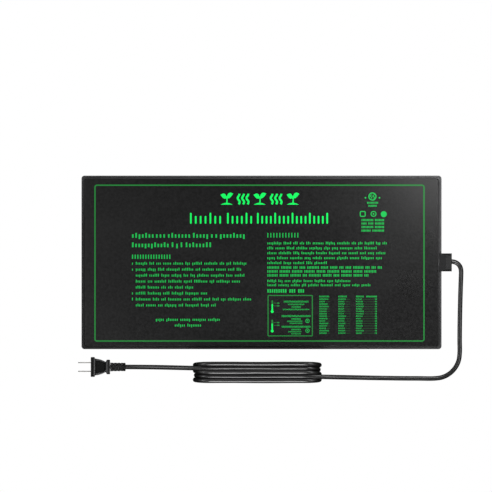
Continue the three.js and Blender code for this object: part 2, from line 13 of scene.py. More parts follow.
import bmesh
import bpy
import mathutils
import numpy as np
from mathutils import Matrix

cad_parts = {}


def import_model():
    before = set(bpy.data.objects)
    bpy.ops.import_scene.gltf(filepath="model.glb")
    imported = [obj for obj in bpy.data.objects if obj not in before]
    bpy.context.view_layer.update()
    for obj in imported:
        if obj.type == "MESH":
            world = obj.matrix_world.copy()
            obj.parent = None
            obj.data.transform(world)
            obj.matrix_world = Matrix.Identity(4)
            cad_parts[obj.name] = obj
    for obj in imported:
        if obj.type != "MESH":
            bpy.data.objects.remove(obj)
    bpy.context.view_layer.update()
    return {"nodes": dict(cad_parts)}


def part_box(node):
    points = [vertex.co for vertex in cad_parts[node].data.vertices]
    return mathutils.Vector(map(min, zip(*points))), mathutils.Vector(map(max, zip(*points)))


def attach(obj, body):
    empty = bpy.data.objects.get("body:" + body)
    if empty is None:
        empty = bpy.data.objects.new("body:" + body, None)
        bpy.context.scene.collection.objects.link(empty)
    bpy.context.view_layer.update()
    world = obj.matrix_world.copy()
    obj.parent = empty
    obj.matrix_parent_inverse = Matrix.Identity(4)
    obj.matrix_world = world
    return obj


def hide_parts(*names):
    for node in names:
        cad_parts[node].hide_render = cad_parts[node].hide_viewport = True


LOG = logging.getLogger("heat_mat")
MM = 0.001
ROOT = "root"
# the attribute that says where the painted rim highlight goes
RIM = "rim"
WELD_DISTANCE_M = 1e-6
FLAT_DEGREES = 1.0
SOFTENED_SHARP_DEGREES = 35.0
DUST_COLOUR = (0.32, 0.31, 0.29)
CLOUDED_FILM = (0.9, 0.9, 0.9)

Vector = tuple[float, float, float]
Colour = tuple[float, float, float]
# a patch of print: one edge, the other edge, and whether its end joins its start
Patch = tuple[np.ndarray, np.ndarray, bool]


# ---------------------------------------------------------------- small helpers


def smooth_step(t: np.ndarray | float) -> np.ndarray:
    """An S curve: 3t² - 2t³ on t held between 0 and 1.

    Args:
        t: where on the curve.

    Returns:
        0 below 0, 1 above 1, and a level start and end between them.
    """
    held = np.clip(t, 0.0, 1.0)
    return held * held * (3.0 - 2.0 * held)


def bump(t: np.ndarray) -> np.ndarray:
    """A round hump: the square of a cosine, 1 at t = 0 and 0 past t = ±1."""
    return np.cos(np.clip(t, -1.0, 1.0) * math.pi / 2) ** 2


def box_mm(node: str) -> tuple[np.ndarray, np.ndarray]:
    """The lowest and highest corner of a frame node, in millimetres."""
    low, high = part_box(node)
    return np.array(low) / MM, np.array(high) / MM


def catmull_rom(points: np.ndarray, per_stretch: int = 24) -> np.ndarray:
    """A smooth line through points: each stretch blends the straight lines between its four nearest points.

    The knots are spaced by the square root of the distance, so the line doesn't loop at a close pair.

    Args:
        points: the places the line passes through, one a row.
        per_stretch: how many places are worked out between two points.

    Returns:
        The line's places, one a row.
    """
    first = 2 * points[0] - points[1]
    last = 2 * points[-1] - points[-2]
    p = np.vstack([first, points, last])
    knots = np.concatenate([[0.0], np.cumsum(np.linalg.norm(np.diff(p, axis=0), axis=1) ** 0.5)])
    p0, p1, p2, p3 = (p[i : len(p) - 3 + i, None, :] for i in range(4))
    t0, t1, t2, t3 = (knots[i : len(knots) - 3 + i, None, None] for i in range(4))
    t = t1 + (t2 - t1) * np.linspace(0.0, 1.0, per_stretch, endpoint=False)[None, :, None]
    a1 = (t1 - t) / (t1 - t0) * p0 + (t - t0) / (t1 - t0) * p1
    a2 = (t2 - t) / (t2 - t1) * p1 + (t - t1) / (t2 - t1) * p2
    a3 = (t3 - t) / (t3 - t2) * p2 + (t - t2) / (t3 - t2) * p3
    b1 = (t2 - t) / (t2 - t0) * a1 + (t - t0) / (t2 - t0) * a2
    b2 = (t3 - t) / (t3 - t1) * a2 + (t - t1) / (t3 - t1) * a3
    line = (t2 - t) / (t2 - t1) * b1 + (t - t1) / (t2 - t1) * b2
    return np.vstack([line.reshape(-1, 3), points[-1:]])


def even_steps(line: np.ndarray, step: float) -> np.ndarray:
    """The same line with its places an equal distance apart.

    Args:
        line: the places along it, one a row.
        step: about how far apart to put them.

    Returns:
        The new places, one a row.
    """
    travelled = np.concatenate([[0.0], np.cumsum(np.linalg.norm(np.diff(line, axis=0), axis=1))])
    count = max(2, int(round(travelled[-1] / step)) + 1)
    wanted = np.linspace(0.0, travelled[-1], count)
    return np.stack([np.interp(wanted, travelled, line[:, axis]) for axis in range(3)], axis=1)


# ---------------------------------------------------------------- meshes


def grid_quads(rows: int, columns: int, round_rows: bool = False, round_columns: bool = False) -> np.ndarray:
    """The four corners of each cell of a grid of points.

    Args:
        rows: number of rows of points.
        columns: number of points in a row.
        round_rows: the last row joins the first.
        round_columns: the last point of a row joins its first.

    Returns:
        One row of four point numbers for each cell.
    """
    i = np.arange(rows if round_rows else rows - 1)[:, None]
    j = np.arange(columns if round_columns else columns - 1)[None, :]
    down, right = (i + 1) % rows, (j + 1) % columns
    corners = (i * columns + j, down * columns + j, down * columns + right, i * columns + right)
    return np.stack([c + np.zeros_like(i + j) for c in corners], axis=-1).reshape(-1, 4)


def signed_volume(mesh: bpy.types.Mesh) -> float:
    """The volume inside a mesh, below zero when its faces point inwards.

    Args:
        mesh: a closed mesh.

    Returns:
        The volume in cubic metres.
    """
    mesh.calc_loop_triangles()
    corners = np.zeros(len(mesh.loop_triangles) * 3, np.int32)
    mesh.loop_triangles.foreach_get("vertices", corners)
    places = np.zeros(len(mesh.vertices) * 3)
    mesh.vertices.foreach_get("co", places)
    a, b, c = places.reshape(-1, 3)[corners.reshape(-1, 3)].transpose(1, 0, 2)
    return float(np.einsum("ij,ij->i", a, np.cross(b, c)).sum() / 6)


def put_in_scene(name: str, data: bpy.types.ID) -> bpy.types.Object:
    """A new object at the origin that shows a mesh, a light or a camera."""
    holder = bpy.data.objects.new(name, data)
    bpy.context.scene.collection.objects.link(holder)
    return holder


def add_mesh(name: str, points: np.ndarray, faces: list, sharp_degrees: float = 40.0) -> bpy.types.Object:
    """A new object from points in millimetres, with its place in its mesh and its faces outwards.

    Args:
        name: the piece's name.
        points: one place a row.
        faces: each a list of point numbers.
        sharp_degrees: edges that turn more than this stay sharp.

    Returns:
        The object, in the scene.
    """
    mesh = bpy.data.meshes.new(name)
    mesh.from_pydata((points * MM).tolist(), [], faces)
    mesh.update()
    if signed_volume(mesh) < 0:
        mesh.flip_normals()
    mesh.shade_smooth()
    mesh.set_sharp_from_angle(angle=math.radians(sharp_degrees))
    return put_in_scene(name, mesh)


def mark_rim(piece: bpy.types.Object, share: np.ndarray) -> None:
    """Writes how strongly each point takes the rim's painted highlight, 0 to 1, as the rim attribute.

    Args:
        piece: the piece to mark.
        share: a value for each of its first points, in their order. The rest get 0.
    """
    rim = np.zeros(len(piece.data.vertices))
    rim[: share.size] = share.ravel()
    piece.data.attributes.new(RIM, "FLOAT", "POINT").data.foreach_set("value", rim)


def loft(name: str, rings: np.ndarray, sharp_degrees: float) -> bpy.types.Object:
    """A closed skin over a row of rings, with a flat end on the first and the last.

    Args:
        name: the piece's name.
        rings: an array of ring, point and axis, in mm.
        sharp_degrees: edges that turn more than this stay sharp.

    Returns:
        The object, in the scene.
    """
    count, around = rings.shape[:2]
    faces = grid_quads(count, around, round_columns=True).tolist()
    faces.append(list(range(around)))
    faces.append(list(range(count * around - 1, (count - 1) * around - 1, -1)))
    return add_mesh(name, rings.reshape(-1, 3), faces, sharp_degrees)


def softened_copy(name: str, node: str, radius_mm: float) -> bpy.types.Object:
    """A copy of a frame node with its edges rounded, as a moulding's or a stamping's are.

    Args:
        name: the new piece's name.
        node: the frame node to copy.
        radius_mm: the edges' radius.

    Returns:
        The new piece.
    """
    work = bmesh.new()
    work.from_mesh(bpy.data.objects[node].data)
    bmesh.ops.remove_doubles(work, verts=work.verts, dist=WELD_DISTANCE_M)
    bmesh.ops.dissolve_limit(work, angle_limit=math.radians(FLAT_DEGREES), verts=work.verts, edges=work.edges)
    mesh = bpy.data.meshes.new(name)
    work.to_mesh(mesh)
    work.free()
    mesh.shade_smooth()
    sharp = math.radians(SOFTENED_SHARP_DEGREES)
    mesh.set_sharp_from_angle(angle=sharp)
    piece = put_in_scene(name, mesh)
    rounding = piece.modifiers.new("rounded edges", "BEVEL")
    rounding.width = radius_mm * MM
    rounding.segments = 3
    rounding.limit_method = "ANGLE"
    rounding.angle_limit = sharp
    rounding.harden_normals = True
    return piece


def tube_rings(line: np.ndarray, radius: np.ndarray | float, sides: int) -> np.ndarray:
    """Rings of a round tube along a line, turned as little as possible from one to the next.

    Each ring is the line's place plus the radius times (cosine · side + sine · up), where side and up are square
    to the line's direction and carried along it.

    Args:
        line: the centreline, one place a row.
        radius: one radius, or one for each place.
        sides: points round a ring.

    Returns:
        An array of ring, point and axis.
    """
    ahead = np.gradient(line, axis=0)
    ahead /= np.linalg.norm(ahead, axis=1, keepdims=True)
    side = np.zeros_like(line)
    side[0] = np.cross(ahead[0], (0.0, 0.0, 1.0))
    side[0] /= np.linalg.norm(side[0])
    for i in range(1, len(line)):
        carried = side[i - 1] - ahead[i] * float(side[i - 1] @ ahead[i])
        side[i] = carried / np.linalg.norm(carried)
    up = np.cross(side, ahead)
    turn = np.linspace(0.0, 2 * math.pi, sides, endpoint=False)[None, :, None]
    reach = np.broadcast_to(np.asarray(radius, float), (len(line),))[:, None, None]
    return line[:, None, :] + reach * (np.cos(turn) * side[:, None, :] + np.sin(turn) * up[:, None, :])


# ---------------------------------------------------------------- shared effects


class Nodes:
    """A node tree with short calls to add nodes and join them."""

    def __init__(self, tree: bpy.types.NodeTree) -> None:
        """Keeps the tree that the calls work on."""
        self.tree = tree

    def add(self, kind: str, inputs: dict | None = None, **settings: object) -> bpy.types.Node:
        """Adds one node.

        Args:
            kind: the node's type without its ShaderNode prefix.
            inputs: a number or colour to set, or a socket to join, for each input by name or number.
            settings: the node's own settings.

        Returns:
            The node.
        """
        node = self.tree.nodes.new("ShaderNode" + kind)
        for key, value in settings.items():
            setattr(node, key, value)
        for key, value in (inputs or {}).items():
            self.feed(node.inputs[key], value)
        return node

    def feed(self, target: bpy.types.NodeSocket, value: object) -> None:
        """Joins a socket to an input, or sets the input to a constant.

        Args:
            target: the input.
            value: a socket, a number, a vector or a colour.
        """
        if isinstance(value, bpy.types.NodeSocket):
            self.tree.links.new(value, target)
        elif isinstance(value, tuple) and len(value) == 3 and target.type == "RGBA":
            target.default_value = (*value, 1.0)
        else:
            target.default_value = value

    def mix(self, mask: object, low: object, high: object) -> bpy.types.NodeSocket:
        """The colour between low and high that the mask picks.

        Args:
            mask: 0 for low and 1 for high.
            low: one colour.
            high: the other colour.

        Returns:
            The colour between them.
        """
        node = self.add("Mix", data_type="RGBA")
        self.feed(node.inputs[0], mask)
        self.feed(node.inputs[6], low)
        self.feed(node.inputs[7], high)
        return node.outputs[2]

    def between(self, value: object, low: float, high: float, start: float = 0.0, end: float = 1.0) -> object:
        """Value spread from start..end to low..high, and held there."""
        limits = {"Value": value, "From Min": start, "From Max": end, "To Min": low, "To Max": high}
        return self.add("MapRange", limits).outputs["Result"]

    def maths(self, operation: str, first: object, second: object) -> bpy.types.NodeSocket:
        """One sum of two values."""
        return self.add("Math", {0: first, 1: second}, operation=operation).outputs[0]


class Effect(Nodes):
    """A shared effect: a node group with a Coordinates input, a Scale and other numbers, and the outputs it names."""

    def __init__(self, name: str, inputs: dict[str, float], outputs: tuple[str, ...]) -> None:
        """Starts the group.

        Args:
            name: the effect's name.
            inputs: each number input and its first value.
            outputs: each output, all of them values.
        """
        super().__init__(bpy.data.node_groups.new(name, "ShaderNodeTree"))
        face = self.tree.interface
        face.new_socket("Coordinates", in_out="INPUT", socket_type="NodeSocketVector")
        for label, value in inputs.items():
            face.new_socket(label, in_out="INPUT", socket_type="NodeSocketFloat").default_value = value
        for label in outputs:
            face.new_socket(label, in_out="OUTPUT", socket_type="NodeSocketFloat")
        self.given = self.tree.nodes.new("NodeGroupInput").outputs
        self.out = self.tree.nodes.new("NodeGroupOutput").inputs

    def scaled(self, share: float) -> bpy.types.NodeSocket:
        """The Scale input times a number."""
        return self.maths("MULTIPLY", self.given["Scale"], share)

    def noise(self, scale: object, **inputs: float) -> bpy.types.NodeSocket:
        """A noise over the effect's coordinates, with its other inputs by name."""
        everything = {"Vector": self.given["Coordinates"], "Scale": scale, **inputs}
        return self.add("TexNoise", everything).outputs["Fac"]


def leather_grain() -> bpy.types.NodeTree:
    """Pressed grain: rounded cells with a finer noise over them, as a height and as a speckle.

    Returns:
        The effect's node group.
    """
    finer, coarser = 2.6, 0.55
    nodes = Effect("leather_grain", {"Scale": 700.0, "Fine": 0.4}, ("Height", "Speckle"))
    where = {"Vector": nodes.given["Coordinates"], "Scale": nodes.given["Scale"]}
    cells = nodes.add("TexVoronoi", where, feature="SMOOTH_F1").outputs["Distance"]
    fine_noise = nodes.noise(nodes.scaled(finer), Detail=3.0)
    nodes.feed(nodes.out["Height"], nodes.maths("ADD", cells, nodes.maths("MULTIPLY", fine_noise, nodes.given["Fine"])))
    patches = nodes.noise(nodes.scaled(coarser), Detail=4.0, Roughness=0.7)
    nodes.feed(nodes.out["Speckle"], nodes.between(patches, 0.0, 1.0, start=0.3, end=0.7))
    return nodes.tree


def handling_marks() -> bpy.types.NodeTree:
    """Faint rubbed streaks and cloudy patches from handling, as one mask from 0 to 1.

    Returns:
        The effect's node group.
    """
    streak_stretch, streak_turn, cloud_share = (0.25, 2.2, 1.0), (0.0, 0.0, 0.5), 0.4
    nodes = Effect("handling_marks", {"Scale": 20.0, "Amount": 0.5}, ("Mask",))
    stretch = {"Vector": nodes.given["Coordinates"], "Scale": streak_stretch, "Rotation": streak_turn}
    along = nodes.add("Mapping", stretch).outputs[0]
    streaks = nodes.add("TexNoise", {"Vector": along, "Scale": nodes.given["Scale"], "Detail": 6.0}).outputs["Fac"]
    both = nodes.maths("MULTIPLY", streaks, nodes.noise(nodes.scaled(cloud_share)))
    mask = nodes.between(both, 0.0, 1.0, start=0.2, end=0.4)
    nodes.feed(nodes.out["Mask"], nodes.maths("MULTIPLY", mask, nodes.given["Amount"]))
    return nodes.tree


def fine_dust() -> bpy.types.NodeTree:
    """Dust specks: the bright tips of a fine noise where a broad noise lets them lie.

    Returns:
        The effect's node group.
    """
    spread_scale = 9.0
    nodes = Effect("fine_dust", {"Scale": 900.0, "Amount": 0.3}, ("Mask",))
    tips = nodes.between(nodes.noise(nodes.given["Scale"], Detail=2.0), 0.0, 1.0, start=0.62, end=0.74)
    spread = nodes.between(nodes.noise(spread_scale, Detail=3.0), 0.2, 1.0, start=0.35, end=0.65)
    lying = nodes.maths("MULTIPLY", tips, spread)
    nodes.feed(nodes.out["Mask"], nodes.maths("MULTIPLY", lying, nodes.given["Amount"]))
    return nodes.tree


class Surface(Nodes):
    """A material's node tree, with its shader and the object's coordinates at hand."""

    def __init__(self, material: bpy.types.Material) -> None:
        """Starts from a new material's own nodes.

        Args:
            material: the new material.
        """
        material.use_nodes = True
        super().__init__(material.node_tree)
        self.shader = self.tree.nodes["Principled BSDF"].inputs
        self.where = self.add("TexCoord").outputs["Object"]

    def effect(self, build: Callable[[], bpy.types.NodeTree], scale: float, **numbers: float) -> object:
        """Places a shared effect, and builds it the first time.

        Args:
            build: the function that builds the effect's group, named as the group is.
            scale: the effect's Scale.
            numbers: its other numbers by name.

        Returns:
            The effect's outputs.
        """
        tree = bpy.data.node_groups.get(build.__name__) or build()
        inputs = {"Coordinates": self.where, "Scale": scale, **numbers}
        return self.add("Group", inputs, node_tree=tree).outputs

    def relief(self, height: bpy.types.NodeSocket, strength: float, depth_mm: float) -> None:
        """Raises and lowers the surface by a height pattern, through a Bump node."""
        raised = self.add("Bump", {"Height": height, "Strength": strength, "Distance": depth_mm * MM})
        self.feed(self.shader["Normal"], raised.outputs["Normal"])


# ---------------------------------------------------------------- finishes


@dataclass(frozen=True)
class Finish:
    """A finish by name, made a material the first time that it is used."""

    name: str

    def material(self) -> bpy.types.Material:
        """The finish as a material, under a name that the frame's own materials don't have.

        Returns:
            The material.
        """
        label = self.name + "_finish"
        material = bpy.data.materials.get(label)
        if not material:
            material = bpy.data.materials.new(label)
            self.fill(Surface(material))
        return material

    def fill(self, surface: Surface) -> None:
        """Adds the finish's nodes to a new material.

        Args:
            surface: the new material's nodes.
        """
        raise NotImplementedError


@dataclass(frozen=True)
class MouldedFinish(Finish):
    """A plastic, rubber, foam or ink: its colours, gloss and surface grain. Grain in mm, the rest as in the shader."""

    colour: Colour
    speckle_colour: Colour
    rubbed_colour: Colour
    roughness: tuple[float, float] = (0.45, 0.6)
    grain: float = 1.2
    grain_depth: float = 0.05
    grain_strength: float = 0.5
    rubbed: float = 0.4
    dust: float = 0.15
    specular: float = 0.5
    glow: float = 0.0
    # the colour of a painted highlight along a piece's rim, if it has one
    rim_colour: Colour | None = None
    marks_scale: float = 22.0
    dust_scale: float = 1100.0

    def fill(self, surface: Surface) -> None:
        """Adds a speckled, rubbed and dusty colour, a painted highlight on the rim where a piece has one, and the grain
        as bump.

        Args:
            surface: the new material's nodes.
        """
        shader = surface.shader
        grain = surface.effect(leather_grain, 1000.0 / self.grain)
        marks = surface.effect(handling_marks, self.marks_scale, Amount=self.rubbed)["Mask"]
        dust = surface.effect(fine_dust, self.dust_scale, Amount=self.dust)["Mask"]
        colour = surface.mix(grain["Speckle"], self.colour, self.speckle_colour)
        # painted highlight: the rim attribute lightens the colour towards the rim's highlight colour
        if self.rim_colour:
            rim_highlight_mask = surface.add("Attribute", attribute_name=RIM).outputs["Fac"]
            colour = surface.mix(rim_highlight_mask, colour, self.rim_colour)
        colour = surface.mix(marks, colour, self.rubbed_colour)
        surface.feed(shader["Base Color"], surface.mix(dust, colour, DUST_COLOUR))
        # roughness only: rougher with the grain's speckle and the rubbed marks
        worn = surface.maths("ADD", surface.maths("MULTIPLY", grain["Speckle"], 0.5), marks)
        surface.feed(shader["Roughness"], surface.between(worn, *self.roughness))
        surface.relief(grain["Height"], self.grain_strength, self.grain_depth)
        shader["Specular IOR Level"].default_value = self.specular
        # painted glow: the colour also shines as light of its own, though the piece is no lamp
        if self.glow:
            surface.feed(shader["Emission Color"], colour)
            shader["Emission Strength"].default_value = self.glow


@dataclass(frozen=True)
class MetalFinish(Finish):
    """A bare or plated metal: brushed lines along its length, a slight tarnish and, on a foil, crinkles."""

    colour: Colour
    tarnish_colour: Colour
    roughness: tuple[float, float] = (0.22, 0.4)
    brushing: tuple[float, float, float] = (60.0, 900.0, 900.0)
    crinkle: float = 0.0
    tarnish: float = 0.8
    tarnish_scale: float = 160.0
    crinkle_scale: float = 160.0
    brushing_depth: float = 0.02

    def fill(self, surface: Surface) -> None:
        """Adds the tarnished colour, the brushed gloss, and the lines and crinkles as bump.

        Args:
            surface: the new material's nodes.
        """
        shader = surface.shader
        drawn = surface.add("Mapping", {"Vector": surface.where, "Scale": self.brushing}).outputs[0]
        lines = surface.add("TexNoise", {"Vector": drawn, "Scale": 1.0, "Detail": 4.0}).outputs["Fac"]
        marks = surface.effect(handling_marks, self.tarnish_scale, Amount=self.tarnish)["Mask"]
        surface.feed(shader["Base Color"], surface.mix(marks, self.colour, self.tarnish_colour))
        surface.feed(shader["Roughness"], surface.between(lines, *self.roughness, start=0.3, end=0.7))
        shader["Metallic"].default_value = 1.0
        folds = surface.effect(leather_grain, self.crinkle_scale)["Height"]
        folded = surface.maths("MULTIPLY", folds, self.crinkle)
        height = surface.maths("ADD", surface.maths("MULTIPLY", lines, self.brushing_depth), folded)
        surface.relief(height, strength=0.5, depth_mm=1.0)


@dataclass(frozen=True)
class FilmFinish(Finish):
    """Thin clear film, cloudy where it is creased."""

    tint: Colour
    crease_scale: float = 30.0

    def fill(self, surface: Surface) -> None:
        """Adds the clouded tint, the gloss and the clearness.

        Args:
            surface: the new material's nodes.
        """
        shader = surface.shader
        marks = surface.effect(handling_marks, self.crease_scale, Amount=1.0)["Mask"]
        surface.feed(shader["Base Color"], surface.mix(marks, self.tint, CLOUDED_FILM))
        surface.feed(shader["Roughness"], surface.between(marks, 0.12, 0.4))
        shader["Transmission Weight"].default_value = 0.9


def black(level: float) -> Colour:
    """A neutral dark colour, a trace cooler than grey."""
    return (level, level, level * 1.03)


# the cover's rim colour, black(0.17), is a painted highlight along the sheet's edges
COVER_PVC = MouldedFinish(
    "cover_pvc", black(0.0010), black(0.0120), black(0.010), (0.34, 0.54), grain=2.2, grain_depth=0.08,
    grain_strength=0.6, rubbed=0.3, dust=0.02, specular=0.4, rim_colour=black(0.17),
)
BLOCK_PVC = MouldedFinish(
    "block_pvc", black(0.0160), black(0.0220), black(0.026), (0.6, 0.7), grain=1.1, grain_depth=0.05, rubbed=0.3,
    dust=0.05, specular=0.35,
)
CORD_PVC = MouldedFinish(
    "cord_pvc", black(0.0035), black(0.0045), black(0.006), (0.30, 0.34), grain=2.5, grain_depth=0.002,
    grain_strength=0.1, rubbed=0.3, dust=0.03, specular=1.0,
)
# the plug's rim colour, black(0.17), is a painted highlight on the plug's edges and the relief's slot edges
PLUG_PVC = MouldedFinish(
    "plug_pvc", black(0.0030), black(0.0045), black(0.006), (0.28, 0.34), grain=0.7, grain_depth=0.01,
    grain_strength=0.3, rubbed=0.4, dust=0.03, specular=0.25, rim_colour=black(0.17),
)
FOAM = MouldedFinish(
    "foam", (0.62, 0.60, 0.55), (0.74, 0.72, 0.66), (0.5, 0.48, 0.44), (0.85, 0.95), grain=1.8, grain_depth=0.3
)
WIRE_INSULATION = MouldedFinish(
    "wire_insulation", (0.42, 0.03, 0.02), (0.48, 0.04, 0.03), (0.5, 0.08, 0.06), (0.4, 0.5), grain=0.5,
    grain_depth=0.01,
)
BLACK_RUBBER = MouldedFinish(
    "black_rubber", black(0.010), black(0.014), black(0.03), (0.7, 0.85), grain=0.6, grain_depth=0.03
)
SHRINK_SLEEVE = MouldedFinish(
    "shrink_sleeve", black(0.016), black(0.020), black(0.03), (0.45, 0.6), grain=0.9, grain_depth=0.02
)
BLACK_CORE = MouldedFinish(
    "black_core", black(0.008), black(0.010), black(0.02), (0.35, 0.45), grain=0.5, grain_depth=0.01
)
WHITE_CORE = MouldedFinish(
    "white_core", (0.78, 0.78, 0.75), (0.82, 0.82, 0.79), (0.7, 0.69, 0.65), (0.35, 0.45), grain=0.5, grain_depth=0.01
)
INSERT_PLASTIC = MouldedFinish(
    "insert_plastic", (0.72, 0.68, 0.56), (0.76, 0.72, 0.60), (0.62, 0.58, 0.48), (0.4, 0.5), grain=0.7,
    grain_depth=0.02,
)
CLEAR_FILM = FilmFinish("clear_film", (0.80, 0.84, 0.84))
FOIL = MetalFinish("foil", (0.86, 0.87, 0.88), (0.70, 0.70, 0.71), (0.2, 0.4), crinkle=0.3)
TINNED_CRIMP = MetalFinish("tinned_crimp", (0.72, 0.70, 0.64), (0.55, 0.52, 0.46), (0.3, 0.5))
NICKEL = MetalFinish("nickel", (0.80, 0.79, 0.76), (0.62, 0.60, 0.56), (0.2, 0.34))


def ink(name: str, colours: tuple[Colour, Colour, Colour], rubbed: float, glow: float = 0.42) -> MouldedFinish:
    """A printing ink: low gloss, a fine grain, and a slight painted glow: it shines with light of its own colour,
    though it is no lamp.

    Args:
        name: the finish's name.
        colours: plain, speckled and rubbed.
        rubbed: how much of it is rubbed.
        glow: how strongly the painted glow shines.

    Returns:
        The finish.
    """
    return MouldedFinish(
        name, *colours, (0.5, 0.6), grain=0.9, grain_depth=0.01, rubbed=rubbed, dust=0.03, specular=0.2, glow=glow
    )


class Ink(Enum):
    """The green inks, from the strongest to the palest print."""

    # each ink has a painted glow, 0.42 strong, the faint ink's 0.3
    BRIGHT = ink("bright_ink", ((0.004, 0.88, 0.12), (0.004, 0.80, 0.11), (0.010, 0.72, 0.10)), 0.35)
    MEDIUM = ink("medium_ink", ((0.008, 0.47, 0.077), (0.008, 0.415, 0.068), (0.012, 0.343, 0.054)), 0.4)
    LINE = ink("line_ink", ((0.016, 0.200, 0.037), (0.014, 0.183, 0.034), (0.014, 0.158, 0.030)), 0.3)
    FAINT = ink("faint_ink", ((0.012, 0.11, 0.025), (0.012, 0.095, 0.022), (0.015, 0.08, 0.02)), 0.3, glow=0.3)


def dress(piece: bpy.types.Object, finish: Finish) -> None:
    """Gives a piece one finish all over."""
    piece.data.materials.clear()
    piece.data.materials.append(finish.material())


def settle(piece: bpy.types.Object, finish: Finish, slot: str, *nodes: str) -> bpy.types.Object:
    """Gives a new piece its finish and its place in the frame.

    Args:
        piece: the piece.
        finish: its finish.
        slot: the name of a material slot; not used.
        nodes: the frame nodes that it stands for, if any.

    Returns:
        The piece.
    """
    dress(piece, finish)
    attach(piece, ROOT)
    if nodes:
        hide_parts(*nodes)
    LOG.info("%s: %d faces", piece.name, len(piece.data.polygons))
    return piece


# ---------------------------------------------------------------- studio


@dataclass(frozen=True)
class Softbox:
    """One area light: where it hangs, where it points, its size in metres and its power in watts."""

    name: str
    place: Vector
    target: Vector
    size: tuple[float, float]
    power: float


@dataclass
class Studio:
    """The floor, the lights and the camera, which looks straight down."""

    view_width: float = 0.7203
    view_centre: tuple[float, float] = (-0.0227, 0.0240)
    camera_height: float = 1.6
    floor_half_size: float = 3.0
    floor_drop: float = 0.0002
    horizon_light: float = 0.26
    zenith_light: float = 0.06
    ground_light: float = 0.02
    # how high, as the sine of the elevation, the horizon's light comes in and the zenith's takes over
    horizon_band: tuple[float, float] = (0.05, 0.3)
    zenith_band: tuple[float, float] = (0.78, 0.95)
    softboxes: tuple[Softbox, ...] = (
        Softbox("corner_softbox", (0.31, 0.19, 0.34), (0.31, 0.19, 0.0), (0.2, 0.2), 0.80),
        Softbox("overhead_softbox", (0.0, -0.05, 1.9), (0.0, -0.05, 0.0), (0.27, 0.27), 0.2),
        Softbox("far_softbox", (0.0, 0.75, 0.35), (0.0, 0.12, 0.0), (1.1, 0.2), 0.7),
        Softbox("hank_softbox", (-0.006, -0.50, 0.45), (-0.006, -0.161, 0.04), (0.20, 0.30), 1.7),
        Softbox("left_softbox", (-0.45, 0.05, 0.60), (-0.45, 0.05, 0.0), (0.3, 0.5), 0.42),
        Softbox("tail_softbox", (-0.75, -0.155, 0.72), (-0.15, -0.155, 0.02), (0.5, 0.24), 1.2),
        Softbox("lead_softbox", (0.75, -0.17, 0.72), (0.15, -0.17, 0.02), (0.5, 0.24), 1.2),
    )

    def build(self) -> None:
        """Puts the camera, lights, sky and floor in the scene."""
        self.camera()
        for softbox in self.softboxes:
            self.light(softbox)
        self.sky()
        self.floor()

    def camera(self) -> None:
        """A camera without perspective, as a long lens from high above shows the mat."""
        lens = bpy.data.cameras.new("camera")
        lens.type = "ORTHO"
        lens.ortho_scale = self.view_width
        camera = put_in_scene("camera", lens)
        camera.location = (*self.view_centre, self.camera_height)
        bpy.context.scene.camera = camera

    def light(self, softbox: Softbox) -> None:
        """One softbox, pointed at its target.

        Args:
            softbox: the light to make.
        """
        lamp = bpy.data.lights.new(softbox.name, "AREA")
        lamp.shape = "RECTANGLE"
        lamp.size, lamp.size_y = softbox.size
        lamp.energy = softbox.power
        holder = put_in_scene(softbox.name, lamp)
        holder.location = softbox.place
        direction = mathutils.Vector(softbox.target) - mathutils.Vector(softbox.place)
        holder.rotation_euler = direction.to_track_quat("-Z", "Y").to_euler()
        holder.visible_camera = False

    def sky(self) -> None:
        """A surround that looks white, and throws light from a band above the horizon, less from overhead."""
        world = bpy.data.worlds.new("surround")
        world.use_nodes = True
        nodes = Nodes(world.node_tree)
        seen = nodes.add("LightPath").outputs["Is Camera Ray"]
        direction = nodes.add("TexCoord").outputs["Generated"]
        up = nodes.add("SeparateXYZ", {"Vector": direction}).outputs["Z"]
        band = nodes.between(up, self.ground_light, self.horizon_light, *self.horizon_band)
        top = nodes.between(up, 0.0, self.zenith_light - self.horizon_light, *self.zenith_band)
        background = world.node_tree.nodes["Background"]
        background.inputs["Color"].default_value = (1.0, 1.0, 1.0, 1.0)
        strength = nodes.maths("MAXIMUM", nodes.maths("ADD", band, top), seen)
        nodes.feed(background.inputs["Strength"], strength)
        bpy.context.scene.world = world
        bpy.context.scene.view_settings.view_transform = "Standard"

    def floor(self) -> None:
        """A plain white floor just under the mat. It shines by itself and throws no light on the mat."""
        reach, drop = self.floor_half_size, -self.floor_drop
        mesh = bpy.data.meshes.new("floor")
        corners = [(-reach, -reach, drop), (reach, -reach, drop), (reach, reach, drop), (-reach, reach, drop)]
        mesh.from_pydata(corners, [], [[0, 1, 2, 3]])
        floor = put_in_scene("floor", mesh)
        finish = bpy.data.materials.new("white_floor")
        finish.use_nodes = True
        shader = finish.node_tree.nodes["Principled BSDF"]
        shader.inputs["Base Color"].default_value = (0.0, 0.0, 0.0, 1.0)
        shader.inputs["Emission Color"].default_value = (1.0, 1.0, 1.0, 1.0)
        for name, value in (("Specular IOR Level", 0.0), ("Roughness", 1.0), ("Emission Strength", 1.0)):
            shader.inputs[name].default_value = value
        mesh.materials.append(finish)
        floor.visible_diffuse = False
        floor.visible_glossy = False


# ---------------------------------------------------------------- cord


